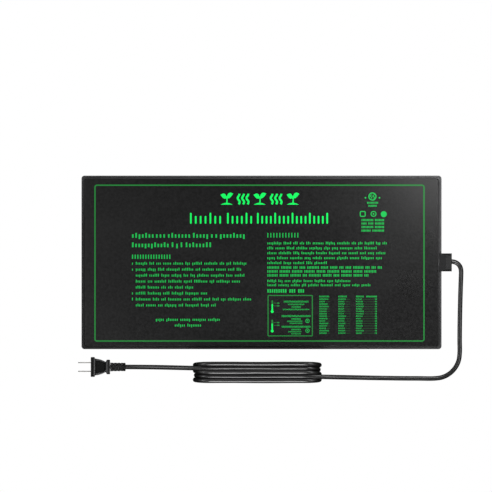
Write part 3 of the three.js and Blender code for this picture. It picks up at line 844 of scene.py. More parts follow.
@dataclass
class Cord:
    """The mains lead: out of the block, along the floor, wound into a hank and on to the plug. Sizes in mm."""

    diameter: float = 6.8
    sides: int = 18
    step: float = 1.5
    exit: Vector = (278.6, 1.2, 5.2)
    fold_left: float = -76.8
    fold_right: float = 64.4
    fold_radius: float = 20.4
    low_fold_radius: float = 18.95
    floor_z: float = 3.45
    sag: float = 2.5
    wander: float = 0.22
    hump: float = 7.0
    hump_half_share: float = 0.42
    run_points: int = 15
    fold_points: int = 13
    lead: tuple[Vector, ...] = (
        (274, 1.2, 5.2), (278.6, 1.2, 5.2), (283.8, 0.16, 5.18), (288.22, -2.78, 5.1), (291.16, -7.2, 4.95),
        (292.2, -12.4, 4.75), (292, -24, 4.2), (291.4, -42, 3.6), (290.8, -64, 3.45), (290.3, -90, 3.45),
        (290.1, -113, 3.45), (290.1, -133.5, 3.45), (288.32, -144.72, 3.45), (283.17, -154.84, 3.45),
        (275.14, -162.87, 3.45), (265.02, -168.02, 3.45), (253.8, -169.8, 3.45), (228, -169.8, 3.45),
        (205, -169.7, 3.45), (185, -169.4, 3.9), (165, -169.1, 7.4), (145, -168.7, 14.5), (125, -168.3, 23.3),
        (105, -167.9, 32), (87.6, -167.5, 37.8),
    )
    tail: tuple[Vector, ...] = (
        (-99.5, -154.7, 38.4), (-118, -154.3, 32.7), (-138, -153.8, 25), (-158, -153.4, 17.3), (-176, -153.2, 11.9),
        (-190, -153.1, 9.4), (-199, -153.1, 9), (-213, -153.1, 9), (-222, -153.1, 9),
    )
    top_runs: dict[int, float] = field(
        default_factory=lambda: {1: -148.7, 2: -154.85, 3: -161.0, 4: -167.15, 5: -173.3}
    )
    low_runs: tuple[int, ...] = (2, 4)
    # the top run before, Y at the bottom run's left and right end, whether it passes over, the top run after
    bottom_runs: tuple[tuple[int, float, float, bool, int], ...] = (
        (4, -164.4, -171.2, False, 5),
        (5, -171.2, -164.4, True, 3),
        (3, -157.6, -150.8, False, 1),
        (1, -150.8, -157.6, True, 2),
    )

    def build(self, pieces_on_it: list[bpy.types.Object]) -> bpy.types.Object:
        """Args:
            pieces_on_it: the plug's pieces; not used.

        Returns:
            The cord.
        """
        line = self.centreline()
        piece = loft("mains_cord", tube_rings(line, self.diameter / 2, self.sides), 60.0)
        settle(piece, CORD_PVC, "cord_pvc", "cord_lead", "cord_hank", "cord_tail")
        return piece

    def centreline(self) -> np.ndarray:
        """The cord's whole route in mm: the lead, the winding's runs and folds in order, and the tail.

        Returns:
            Its places, one a row.
        """
        stretches = [np.array(self.lead, float), self.top_run(4)]
        for before, left_y, right_y, over, after in self.bottom_runs:
            stretches.append(self.fold(-1, before, left_y))
            stretches.append(self.bottom_run(left_y, right_y, over))
            stretches.append(self.fold(1, after, right_y)[::-1])
            stretches.append(self.top_run(after))
        stretches.append(np.array(self.tail, float))
        return even_steps(catmull_rom(np.vstack(stretches)), self.step)

    def radius_of(self, run: int) -> float:
        """The fold radius of a top run: the even runs lie in the grooves between the others, so theirs is smaller."""
        return self.low_fold_radius if run in self.low_runs else self.fold_radius

    def top_run(self, run: int) -> np.ndarray:
        """A run along the top, from right to left, which dips by the square of a sine and wanders by a slow sine.

        Args:
            run: the run's number.

        Returns:
            Its places, one a row.
        """
        t = np.linspace(0.0, 1.0, self.run_points)
        x = self.fold_right + (self.fold_left - self.fold_right) * t
        y = self.top_runs[run] + self.wander * np.sin(2 * math.pi * t + 1.7 * run) * np.sin(math.pi * t)
        z = self.floor_z + 2 * self.radius_of(run) - self.sag * np.sin(math.pi * t) ** 2
        return np.stack([x, y, z], axis=1)

    def bottom_run(self, left_y: float, right_y: float, over: bool) -> np.ndarray:
        """A run along the floor, from left to right, which crosses its neighbour by an S curve, on a hump if over it.

        Args:
            left_y: its Y at the left end.
            right_y: its Y at the right end.
            over: whether it passes over its neighbour.

        Returns:
            Its places, one a row.
        """
        t = np.linspace(0.0, 1.0, self.run_points)
        x = self.fold_left + (self.fold_right - self.fold_left) * t
        y = left_y + (right_y - left_y) * smooth_step((t - 0.25) / 0.5)
        z = self.floor_z + (self.hump if over else 0.0) * bump((t - 0.5) / self.hump_half_share)
        return np.stack([x, y, z], axis=1)

    def fold(self, end: int, run: int, bottom_y: float) -> np.ndarray:
        """Half a turn at one end, from the top down: a half circle, moved sideways to the bottom run's place.

        Args:
            end: -1 at the left end, 1 at the right end.
            run: the top run that it joins.
            bottom_y: where it reaches the floor.

        Returns:
            The fold's places without the two ends.
        """
        radius = self.radius_of(run)
        angle = np.linspace(0.0, math.pi, self.fold_points)[1:-1]
        x = (self.fold_right if end > 0 else self.fold_left) + end * radius * np.sin(angle)
        y = self.top_runs[run] + (bottom_y - self.top_runs[run]) * smooth_step(angle / (0.75 * math.pi))
        z = self.floor_z + radius * (1 + np.cos(angle))
        return np.stack([x, y, z], axis=1)


# ---------------------------------------------------------------- covers


def shell(name: str, top: np.ndarray, bottom: np.ndarray) -> bpy.types.Object:
    """A closed sheet between two grids of points with the same rows and columns: its skin above, below and round it.

    Args:
        name: the piece's name.
        top: the upper grid, an array of row, column and axis.
        bottom: the lower grid.

    Returns:
        The object, in the scene.
    """
    rows, columns = top.shape[:2]
    numbers = np.arange(rows * columns).reshape(rows, columns)
    round_it = np.concatenate([numbers[:-1, 0], numbers[-1, :-1], numbers[:0:-1, -1], numbers[0, :0:-1]])
    upper = grid_quads(rows, columns)
    lower = upper[:, ::-1] + rows * columns
    after = np.roll(round_it, -1)
    wall = np.stack([round_it + rows * columns, after + rows * columns, after, round_it], axis=1)
    faces = np.concatenate([upper, lower, wall]).tolist()
    return add_mesh(name, np.concatenate([top.reshape(-1, 3), bottom.reshape(-1, 3)]), faces, 50.0)


@dataclass
class MatCovers:
    """The two welded sheets: a flat one, and over it one pressed into a bead, a groove and a raised field. In mm."""

    corner: float = 4.5
    inner_corner: float = 8.0
    sheet: float = 0.5
    rim_z: float = 1.0
    bead_crest: float = 1.75
    bead_width: float = 2.3
    slope_start: float = 2.75
    slope_width: float = 2.3
    inside_step: float = 0.6
    ripple: float = 0.07
    duct_half_width: float = 8.0
    duct_top: float = 2.65
    duct_edge: float = 0.8
    block_half_width: float = 13.4
    block_edge: float = 0.6
    spacing: float = 5.0
    base_lift: float = 0.18
    base_round: float = 0.5
    least_thickness: float = 0.3
    # how wide the band of painted rim highlight is
    worn_width: float = 4.0
    half: np.ndarray = field(init=False)
    foot: float = field(init=False)
    top: float = field(init=False)
    edge_steps: tuple[float, ...] = (
        0, 0.12, 0.35, 0.7, 1.1, 1.5, 1.85, 2.1, 2.3, 2.55, 2.8, 3.1, 3.4, 3.7, 4.0, 4.3, 4.6, 4.9, 5.2, 6.0, 7.5, 10.0
    )

    def build(self) -> None:
        low, high = box_mm("top_cover")
        self.half = (high[:2] - low[:2]) / 2
        self.foot, self.top = float(low[2]), float(high[2])
        x, y = self.grid()
        from_edge = self.edge_distance(x, y, self.corner)
        above = np.stack([x, y, self.height(x, y)], axis=-1)
        under = np.stack([x, y, self.underside(x, y)], axis=-1)
        cover = shell("mat_top_cover", above, under)
        # painted highlight along the rim, strongest towards the lit far right corner
        mark_rim(cover, self.worn(x, y, from_edge))
        plate_top = np.stack([x, y, np.full_like(x, box_mm("bottom_cover")[1][2])], axis=-1)
        lifted = self.base_lift * (1 - smooth_step(from_edge / self.base_round))
        base = shell("mat_bottom_cover", plate_top, np.stack([x, y, lifted], axis=-1))
        for piece, node in ((cover, "top_cover"), (base, "bottom_cover")):
            settle(piece, COVER_PVC, "cover_pvc", node)

    def worn(self, x: np.ndarray, y: np.ndarray, from_edge: np.ndarray) -> np.ndarray:
        """How strongly the rim takes a painted highlight, 0 to 1: a bump on the bead and one on the step, strongest at
        the far right, where the light falls.

        Args:
            x: each point's place along the mat.
            y: each point's place across the mat.
            from_edge: how far inside the mat's edge each point is.

        Returns:
            A value for each point.
        """
        # painted highlight: stronger towards the far right corner and, on the step, along the far side, both facing the
        # light
        towards_far_right = smooth_step(0.5 + (x / self.half[0] + y / self.half[1]) / 2)
        far_side = smooth_step((y / self.half[1] - 0.93) / 0.03)
        bead = 0.30 * (from_edge < self.worn_width) + 0.30 * bump((from_edge - self.bead_width / 2 + 0.05) / 1.5)
        step = (0.45 + 0.32 * far_side) * bump(from_edge - self.worn_width)
        return np.clip((bead + step) * (0.15 + 0.85 * towards_far_right), 0, 1)

    def grid(self) -> tuple[np.ndarray, np.ndarray]:
        """Points over the mat, close together by its edges, with the square corners drawn in to quarter circles.

        In a corner's square, x is shortened by the square root of 1 - y²/2 and y by that of 1 - x²/2.

        Returns:
            The X and the Y of each point.
        """
        lines = []
        for half in self.half:
            inner = half - self.edge_steps[-1]
            count = int(2 * inner / self.spacing)
            edge = half - np.array(self.edge_steps)
            lines.append(np.concatenate([-edge, np.linspace(-inner, inner, count)[1:-1], edge[::-1]]))
        x, y = np.meshgrid(*lines, indexing="ij")
        a = np.clip(np.abs(x) - (self.half[0] - self.corner), 0, None) / self.corner
        b = np.clip(np.abs(y) - (self.half[1] - self.corner), 0, None) / self.corner
        round_x = np.sign(x) * (self.half[0] - self.corner + self.corner * a * np.sqrt(1 - b * b / 2))
        round_y = np.sign(y) * (self.half[1] - self.corner + self.corner * b * np.sqrt(1 - a * a / 2))
        return np.where(a > 0, round_x, x), np.where(b > 0, round_y, y)

    def edge_distance(self, x: np.ndarray, y: np.ndarray, corner: float) -> np.ndarray:
        """How far inside a rounded rectangle of the mat's size each point is.

        Args:
            x: each point's place along the mat.
            y: each point's place across the mat.
            corner: the rounded corners' radius.

        Returns:
            A distance for each point.
        """
        qx = np.abs(x) - (self.half[0] - corner)
        qy = np.abs(y) - (self.half[1] - corner)
        outside = np.hypot(np.clip(qx, 0, None), np.clip(qy, 0, None))
        return corner - outside - np.minimum(np.maximum(qx, qy), 0)

    def field_wave(self, x: np.ndarray, y: np.ndarray) -> np.ndarray:
        """The sheet's slight unevenness: slow sines across each other, never above the field's full height."""
        waves = np.sin(x / 31 + 1.3 * np.sin(y / 47)) + np.sin(y / 23 + 0.9 * np.sin(x / 61) + 2.0)
        return self.ripple * (waves / 4 - 0.5)

    def duct(self, x: np.ndarray, y: np.ndarray, half_width: float) -> np.ndarray:
        """1 over the wires' duct through the rim and 0 beside it."""
        return smooth_step((half_width - np.abs(y)) / self.duct_edge) * (x > 0)

    def height(self, x: np.ndarray, y: np.ndarray) -> np.ndarray:
        """The top of the upper sheet: a half-ellipse bead, a level groove, then an S slope up to the wavy field.

        Args:
            x: each point's place along the mat.
            y: each point's place across the mat.

        Returns:
            The Z of each point.
        """
        outer = self.edge_distance(x, y, self.corner)
        inner = self.edge_distance(x, y, self.inner_corner)
        middle = self.bead_width / 2
        under_block = smooth_step((self.block_half_width - np.abs(y)) / self.block_edge) * (x > 0)
        crest = (self.bead_crest - self.rim_z) * (1 - under_block)
        bead = self.rim_z + crest * np.sqrt(np.clip(1 - ((outer - middle) / middle) ** 2, 0, 1))
        rise = smooth_step((inner - self.slope_start) / self.slope_width)
        z = bead + (self.top - self.rim_z + self.field_wave(x, y)) * rise
        over_duct = (self.duct_top - z) * self.duct(x, y, self.duct_half_width)
        return z + np.clip(over_duct, 0, None)

    def underside(self, x: np.ndarray, y: np.ndarray) -> np.ndarray:
        """The inside of the upper sheet: flat at the weld, and a sheet's thickness below the field and the duct.

        Args:
            x: each point's place along the mat.
            y: each point's place across the mat.

        Returns:
            The Z of each point.
        """
        inner = self.edge_distance(x, y, self.inner_corner)
        rise = smooth_step((inner - self.slope_start - self.inside_step) / self.slope_width)
        z = self.foot + (self.top - self.sheet - self.foot + self.field_wave(x, y)) * rise
        over_duct = (self.duct_top - self.sheet - z) * self.duct(x, y, self.duct_half_width - self.sheet)
        return np.minimum(z + np.clip(over_duct, 0, None), self.height(x, y) - self.least_thickness)


# ---------------------------------------------------------------- print


def stroke(line: np.ndarray, width: float, closed: bool = False) -> Patch:
    """A patch of ink of even width along a line, which is closed if its end joins its start.

    Args:
        line: places along it, one a row.
        width: how wide the ink is.
        closed: whether its end joins its start.

    Returns:
        The patch.
    """
    if closed:
        ahead = np.roll(line, -1, axis=0) - np.roll(line, 1, axis=0)
    else:
        ahead = np.gradient(line, axis=0)
    ahead = ahead / np.linalg.norm(ahead, axis=1, keepdims=True)
    aside = np.stack([-ahead[:, 1], ahead[:, 0]], axis=1) * width / 2
    return line + aside, line - aside, closed


def circle(x: float, y: float, radius: float, count: int = 28) -> np.ndarray:
    """Places round a circle."""
    turn = np.linspace(0, 2 * math.pi, count, endpoint=False)
    return np.stack([x + radius * np.cos(turn), y + radius * np.sin(turn)], axis=1)


def disc(x: float, y: float, radius: float) -> Patch:
    """A filled circle, as the patch between its upper and its lower half, which stop just short of meeting.

    Args:
        x: its middle along the mat.
        y: its middle across the mat.
        radius: its radius.

    Returns:
        The patch.
    """
    short = 0.04
    turn = np.linspace(short, math.pi - short, 12)
    upper = np.stack([x + radius * np.cos(turn), y + radius * np.sin(turn)], axis=1)
    return upper, upper * (1, -1) + (0, 2 * y), False


def frame_line(x: tuple[float, float], y: tuple[float, float], radius: float) -> np.ndarray:
    """Places round a rectangle with rounded corners, with more along its sides so that it follows the sheet.

    Args:
        x: its left and right side.
        y: its lower and upper side.
        radius: its corners' radius.

    Returns:
        The places, one a row.
    """
    parts = []
    spacing = 8.0
    for start, (right, upper) in zip((0, 90, 180, 270), ((1, 1), (0, 1), (0, 0), (1, 0))):
        turn = np.radians(np.linspace(start, start + 90, 7))
        centre = np.array([x[right] - (2 * right - 1) * radius, y[upper] - (2 * upper - 1) * radius])
        parts.append(centre + radius * np.stack([np.cos(turn), np.sin(turn)], axis=1))
    loop = []
    for part, following in zip(parts, parts[1:] + parts[:1]):
        count = max(3, int(np.linalg.norm(following[0] - part[-1]) / spacing))
        loop += [part, np.linspace(part[-1], following[0], count)[1:-1]]
    return np.vstack(loop)


@dataclass(frozen=True)
class TextRow:
    """A row of print, drawn as plain upright strokes grouped into words. Sizes in mm."""

    x: tuple[float, float]
    y: float
    height: float
    bold: float = 1.0
    capitals: bool = False
    broken: bool = True


@dataclass
class Print:
    """The green print: a frame, plain ornaments, and rows of strokes where a maker's words would be."""

    covers: MatCovers
    thickness: float = 0.05
    depth: float = 0.12
    seed: int = 11
    # a row of text: strokes a share of its height apart, each a share of that wide
    stroke_pitch: float = 0.60
    stroke_share: float = 0.52
    small_letter: float = 0.72
    descender: float = 0.25
    title_y: tuple[float, float, float] = (56.6, 68.1, 72.7)
    title_pitch: float = 6.2
    title_bar: float = 2.5
    thermometer_x: float = 15.7
    thermometer_y: tuple[float, float] = (-72.0, -100.5)
    row_pitch: float = 8.74
    table_y: float = -54.9
    table_pitch: float = 3.55
    chance: np.random.Generator = field(init=False)

    def build(self) -> None:
        """Lays every part of the print on the top sheet. The text rows draw their words at random, in this order."""
        self.chance = np.random.default_rng(self.seed)
        outline = frame_line((-243.8, 237.9), (-115.1, 113.0), 3.0)
        panel = frame_line((9.6, 74.4), (-107.6, -48.4), 1.0)
        self.lay("print_frame", Ink.LINE, [stroke(outline, 2.0, True)])
        self.lay("print_ornament", Ink.BRIGHT, self.ornament())
        self.lay("print_title", Ink.BRIGHT, self.title())
        self.write("print_left_heading", self.left_heading())
        self.write("print_left_text", self.left_text())
        self.write("print_right_heading", self.right_heading())
        self.write("print_right_text", self.right_text())
        self.lay("print_panel_frame", Ink.LINE, [stroke(panel, 1.5, True)])
        self.lay("print_thermometers", Ink.BRIGHT, self.thermometers())
        self.lay("print_thermometer_outlines", Ink.LINE, self.thermometer_outlines())
        self.write("print_panel_text", self.panel_text())
        self.table()
        self.lay("print_badges", Ink.MEDIUM, self.badges())
        self.write("print_badge_text", self.badge_text())

    def place(self, name: str, ink: Ink, points: np.ndarray, faces: list) -> None:
        """Makes a piece of ink and lays it on the sheet.

        Args:
            name: the piece's name.
            ink: its ink.
            points: places in the plane, each with a level, 0 for the ink's underside and 1 for its top.
            faces: each a list of point numbers.
        """
        top = self.covers.height(points[:, 0], points[:, 1])
        z = top - self.depth + points[:, 2] * (self.depth + self.thickness)
        settle(add_mesh(name, np.column_stack([points[:, :2], z]), faces), ink.value, "green_ink")

    def lay(self, name: str, ink: Ink, patches: list[Patch]) -> None:
        """Makes one piece of ink from patches. Each is a tube of four-cornered rings along the patch.

        Args:
            name: the piece's name.
            ink: its ink.
            patches: its patches.
        """
        points, faces, count = [], [], 0
        for left, right, closed in patches:
            edges = (left, right, right, left)
            corners = [np.column_stack([edge, np.full(len(edge), level)]) for edge, level in zip(edges, (0, 0, 1, 1))]
            rings = np.stack(corners, axis=1)
            quads = grid_quads(len(left), 4, round_rows=closed, round_columns=True) + count
            faces += quads.tolist()
            if not closed:
                last = count + 4 * (len(left) - 1)
                faces += [[count, count + 1, count + 2, count + 3], [last + 3, last + 2, last + 1, last]]
            points.append(rings.reshape(-1, 3))
            count += 4 * len(left)
        self.place(name, ink, np.vstack(points), faces)

    def write(self, name: str, rows: list[TextRow]) -> None:
        """Makes one piece of medium ink from rows of upright strokes, each stroke a plain box.

        Args:
            name: the piece's name.
            rows: its rows.
        """
        boxes = np.vstack([self.strokes(row) for row in rows])
        x0, x1, y0, y1 = boxes.T
        plan = np.stack([np.stack(c, axis=1) for c in ((x0, y0), (x1, y0), (x1, y1), (x0, y1))], axis=1)
        low = np.concatenate([plan, np.zeros((*plan.shape[:2], 1))], axis=2)
        high = np.concatenate([plan, np.ones((*plan.shape[:2], 1))], axis=2)
        points = np.concatenate([low, high], axis=1).reshape(-1, 3)
        sides = [(3, 2, 1, 0), (4, 5, 6, 7), (0, 1, 5, 4), (1, 2, 6, 5), (2, 3, 7, 6), (3, 0, 4, 7)]
        faces = (np.arange(len(boxes))[:, None, None] * 8 + np.array(sides)[None]).reshape(-1, 4)
        self.place(name, Ink.MEDIUM, points, faces.tolist())

    def strokes(self, row: TextRow) -> np.ndarray:
        """The strokes of a row, in words of 3 to 8, most as high as a small letter and some higher or lower.

        Args:
            row: the row's place, size and kind.

        Returns:
            The left, right, lower and upper side of each stroke.
        """
        pitch = row.height * self.stroke_pitch
        width = pitch * self.stroke_share * row.bold
        slots = max(1, int((row.x[1] - row.x[0]) / pitch))
        used = np.ones(slots, bool)
        word_ends = np.cumsum(self.chance.integers(3, 9, slots) + 1)
        if row.broken:
            used[word_ends[word_ends < slots - 3]] = False
        left = row.x[0] + (row.x[1] - row.x[0] - width) * np.arange(slots) / max(1, slots - 1)
        kind = self.chance.random(slots)
        tall = np.where((kind > 0.72) | row.capitals, 1.0, self.small_letter)
        drop = np.where((kind < 0.1) & (not row.capitals), self.descender, 0.0)
        sides = [left, left + width, row.y - drop * row.height, row.y + tall * row.height]
        return np.stack(sides, axis=1)[used]

    def ornament(self) -> list[Patch]:
        """A row of seedlings with rising heat between them.

        Returns:
            The patches.
        """
        shapes = []
        for x in (-51.0, -2.6, 45.8):
            shapes += self.seedling(x, 84.5, 17.5)
        for x in (-26.8, 21.6):
            shapes += [stroke(self.heat_wave(x + step, 85.0, 15.5), 3.0) for step in (-6.5, 0.0, 6.5)]
        return shapes

    def heat_wave(self, x: float, y: float, height: float) -> np.ndarray:
        """One rising wave: a sine up the page that weakens towards its ends.

        Args:
            x: its middle.
            y: its foot.
            height: how tall it is.

        Returns:
            The places along it, one a row.
        """
        swing, turns = 1.7, 1.25
        t = np.linspace(0, 1, 22)
        aside = swing * np.sin(2 * math.pi * turns * t) * (0.6 + 0.4 * bump(2 * t - 1))
        return np.stack([x + aside, y + height * t], axis=1)

    def seedling(self, x: float, y: float, height: float) -> list[Patch]:
        """A stem on a mound of soil, and two leaves, each a spine that swells to both sides by a sine.

        Args:
            x: the stem's place across the mat.
            y: the soil's foot.
            height: how tall it is.

        Returns:
            The stem, the soil and the leaves.
        """
        soil_half, soil_height, leaf_swell = 8.5, 2.6, 3.1
        t = np.linspace(0, 1, 14)
        stem = np.stack([x + 0.5 * np.sin(math.pi * t), y + 1.5 + 0.62 * height * t], axis=1)
        mound = np.linspace(-1, 1, 12)
        soil_top = np.stack([x + soil_half * mound, y + 0.2 + soil_height * (1 - mound**2)], axis=1)
        soil_low = np.stack([x + soil_half * mound, np.full(12, y)], axis=1)
        shapes = [stroke(stem, 1.8), (soil_top, soil_low, False)]
        for side, reach, lift in ((-1, 9.0, 4.6), (1, 9.5, 6.2)):
            root = np.array([x, y + 0.56 * height])
            spine = root + np.stack([side * reach * t, lift * np.sin(t * math.pi / 2)], axis=1)
            swell = leaf_swell * np.sin(math.pi * t**0.8)[:, None] * np.array([-side * 0.35, 1.0]) + (0, 0.12)
            shapes.append((spine + swell, spine - swell, False))
        return shapes

    def title(self) -> list[Patch]:
        """Round-ended bars of two heights where a title would be.

        Returns:
            The patches.
        """
        shapes = []
        foot, low_top, high_top = self.title_y
        for start, end in ((-104.7, -59.3), (-50.5, -13.9), (-6.6, 97.4)):
            count = int(round((end - start) / self.title_pitch))
            inset = self.title_bar / 2
            for i, x in enumerate(np.linspace(start + inset, end - inset, count)):
                shapes.append(self.bar(x, foot, low_top if i % 4 else high_top, self.title_bar))
        return shapes

    def bar(self, x: float, low: float, high: float, width: float) -> Patch:
        """An upright bar with round ends.

        Args:
            x: its middle.
            low: its lower end.
            high: its upper end.
            width: how wide it is.

        Returns:
            The patch.
        """
        t = np.linspace(-1, 1, 25)
        along = np.sign(t) * (1 - (1 - np.abs(t)) ** 2)
        y = (low + high) / 2 + (high - low) / 2 * along
        near = np.clip(np.minimum(y - low, high - y) / (width / 2), 0, 1)
        half = np.maximum(width / 2 * np.sqrt(1 - (1 - near) ** 2), 0.08)
        return np.stack([x - half, y], axis=1), np.stack([x + half, y], axis=1), False

    def left_heading(self) -> list[TextRow]:
        """Two rows of bold strokes.

        Returns:
            The rows.
        """
        words = ((-189.6, -158.1), (-154.5, -141.3), (-136.9, -104.7), (-100.3, -78.3), (-73.9, -65.1), (-60.8, -24.7))
        rows = [TextRow(word, 36.1, 7.0, 1.1, broken=False) for word in words]
        lower = ((-189.6, -136.0), (-131.5, -116.0), (-111.0, -73.9))
        return rows + [TextRow(word, 22.3, 7.0, 1.1, broken=False) for word in lower]

    def left_text(self) -> list[TextRow]:
        """The subheading, eight rows and the two short centred rows below.

        Returns:
            The rows.
        """
        rows = [TextRow((-189.6, -133.5), 5.2, 6.2, 0.85, True, False)]
        ends = (-22.3, -30.0, -25.2, -31.8, -100.3, -79.9, -15.4, -67.3)
        for i, end in enumerate(ends):
            y = -3.3 - self.row_pitch * i
            rows.append(TextRow((-184.0, end), y, 4.1))
            if i in (0, 1, 5, 6):
                rows.append(TextRow((-189.6, -187.2), y, 4.1))
        return rows + [TextRow((-154.6, -61.3), -85.6, 4.2), TextRow((-126.9, -88.7), -93.9, 4.2)]

    def right_heading(self) -> list[TextRow]:
        """The right column's two headings."""
        return [TextRow((8.6, 53.9), 36.4, 6.8, 0.65, True, False), TextRow((8.6, 62.2), -44.4, 5.2, 1.3, True)]

    def right_text(self) -> list[TextRow]:
        """The right column's rows: five, three in capitals, and two.

        Returns:
            The rows.
        """
        ends = (183.3, 168.5, 181.1, 176, 95.5)
        rows = [TextRow((8.6, end), 26.4 - 7.22 * i, 3.9, 1.05) for i, end in enumerate(ends)]
        rows += [TextRow((8.6, end), -9.3 - 5.75 * i, 3.7, 1.15, True) for i, end in enumerate((176, 167.8, 156.5))]
        return rows + [TextRow((8.6, 129.9), -28.8, 3.8, 1.05), TextRow((8.6, 159.3), -34.9, 3.8, 1.05)]

    def thermometers(self) -> list[Patch]:
        """Two filled thermometers: a bulb and a column each.

        Returns:
            The patches.
        """
        shapes = []
        for y in self.thermometer_y:
            left, right = (np.array([[self.thermometer_x + half, y], [self.thermometer_x + half, y + 11.0]])
                           for half in (-1.05, 1.05))
            shapes += [disc(self.thermometer_x, y, 2.1), (left, right, False)]
        return shapes

    def thermometer_outlines(self) -> list[Patch]:
        """The empty ends of the thermometers and their marks.

        Returns:
            The patches.
        """
        shapes = []
        for y in self.thermometer_y:
            shapes.append(self.bar(self.thermometer_x, y + 11.2, y + 16.6, 2.3))
            for mark in (8.4, 12.4):
                shapes.append(stroke(np.array([[18.0, y + mark], [22.0, y + mark]]), 0.6))
                shapes.append(stroke(np.array([[22.6, y + mark], [26.2, y + mark]]), 2.0))
        return shapes

    def panel_text(self) -> list[TextRow]:
        """Short centred rows beside the thermometers.

        Returns:
            The rows.
        """
        centred = (
            (50.6, 17.8, -58.8, 2.7), (50.6, 11.8, -62.6, 2.2), (50.6, 6.6, -66.4, 2.2), (50.6, 19.2, -69.9, 2.0),
            (50.6, 20.8, -80.0, 2.8), (50.6, 6.6, -83.9, 2.2), (48.6, 11.0, -87.0, 1.8), (50.6, 9.0, -90.1, 1.8),
            (50.6, 20.8, -95.6, 2.8), (50.6, 6.6, -99.4, 2.2), (48.6, 9.6, -102.4, 1.8), (50.6, 6.6, -105.4, 1.8),
        )
        return [TextRow((x - half, x + half), y, tall, 1.0, True, False) for x, half, y, tall in centred]

    def table(self) -> None:
        """Three columns of short rows with faint leaders to a second, narrow column."""
        columns = ((84.8, 98.8, 101.6), (112.7, 124.5, 131.4), (138.5, 149.5, 168.8))
        names, leaders = [], []
        for start, end, leader_end in columns:
            names.append(TextRow((start, end), -51.2, 2.6, 1.1, True, False))
            for i in range(15):
                y = self.table_y - self.table_pitch * i
                reach = start + (end - start) * self.chance.uniform(0.55, 1.0)
                names.append(TextRow((start, reach), y, 2.1, 1.0, True, False))
                line = np.linspace((reach + 1.2, y + 0.9), (leader_end - 1.5, y + 0.9), 4)
                leaders.append(stroke(line, 0.45))
                if leader_end > 160:
                    names.append(TextRow((leader_end - 2.6, leader_end), y, 2.1, 1.3, True))
        names.append(TextRow((153.5, 168.8), -51.2, 2.4, 1.3, True))
        self.write("print_table_text", names)
        self.lay("print_table_leaders", Ink.FAINT, leaders)

    def badges(self) -> list[Patch]:
        """Plain round and square ornaments at the top right, and two small ones in the panel.

        Returns:
            The patches.
        """
        shapes = [stroke(circle(162.4, 96.5, 5.2), 1.5, True)]
        shapes += [stroke(self.heat_wave(162.4 + step, 93.4, 6.2), 1.0) for step in (-2.0, 2.0)]
        shapes += [disc(152.2, 94.6, 1.2), disc(172.6, 94.6, 1.2)]
        shapes.append(stroke(frame_line((144.6, 151.8), (67.4, 74.6), 1.6), 1.4, True))
        shapes.append(stroke(circle(164.0, 71.0, 3.6), 1.3, True))
        shapes.append(disc(164.0, 71.0, 1.2))
        shapes.append(disc(179.0, 70.6, 4.4))
        for y in (-85.6, -99.9):
            shapes.append(stroke(circle(67.3, y, 2.6, 20), 0.9, True))
            shapes.append(disc(67.3, y, 0.9))
        return shapes

    def badge_text(self) -> list[TextRow]:
        """The short rows by the ornaments."""
        upper = (((154.6, 170.6), 85.9), ((156.6, 168.4), 81.4))
        rows = [TextRow(x, y, 2.8, 1.2, True, False) for x, y in upper]
        return rows + [TextRow((146.5, 179.3), y, 3.1, 1.2, True) for y in (60.4, 55.4, 50.2, 45.0)]


# ---------------------------------------------------------------- block and plug


@dataclass
class EntryBlock:
    """The moulded block that the cord leaves, in two welded halves."""

    edge_radius: float = 0.55

    def build(self) -> None:
        """Rounds the edges of the two halves and dresses them."""
        for name, node in (("entry_block_upper", "junction_cover"), ("entry_block_lower", "junction_base")):
            settle(softened_copy(name, node, self.edge_radius), BLOCK_PVC, "block_pvc", node)


def section_template(side: int, corner: int = 7) -> np.ndarray:
    """A rounded rectangle's recipe, a row for each point round it.

    Along a side the shares run from one corner to the next while the angle waits. At a corner the angle turns a
    quarter while the shares wait.

    Args:
        side: points along each side.
        corner: points round each corner.

    Returns:
        The share across, the share up and the angle of each point.
    """
    corners = np.array([(1, -1), (1, 1), (-1, 1), (-1, -1), (1, -1)], float)
    run = np.linspace(0, 1, side, endpoint=False)[:, None]
    turn = np.linspace(0, math.pi / 2, corner, endpoint=False)
    parts = []
    for quarter in range(4):
        start, end = corners[quarter : quarter + 2]
        angle = quarter * math.pi / 2
        parts.append(np.column_stack([start + (end - start) * run, np.full(side, angle)]))
        parts.append(np.column_stack([np.tile(end, (corner, 1)), angle + turn]))
    return np.vstack(parts)


def sections(x: np.ndarray, half_y: np.ndarray, half_z: np.ndarray, radius: np.ndarray, side: int) -> np.ndarray:
    """Rounded rectangles along X: each point is a share of the straight sides plus the corner radius at its angle.

    Args:
        x: the place of each rectangle.
        half_y: half of each one's width.
        half_z: half of each one's height.
        radius: each one's corner radius.
        side: points along each side.

    Returns:
        An array of rectangle, point and axis.
    """
    share_y, share_z, angle = section_template(side).T
    y = (half_y - radius)[:, None] * share_y + radius[:, None] * np.cos(angle)
    z = (half_z - radius)[:, None] * share_z + radius[:, None] * np.sin(angle)
    return np.stack([np.broadcast_to(x[:, None], y.shape), y, z], axis=-1)


def round_rings(x: np.ndarray, radius: np.ndarray | float, turn: np.ndarray) -> np.ndarray:
    """Rings round the X axis: at each place, the radius times the cosine and the sine of each turn."""
    reach = np.broadcast_to(radius, (len(x), len(turn)))
    return np.stack([np.broadcast_to(x[:, None], reach.shape), reach * np.cos(turn), reach * np.sin(turn)], axis=-1)


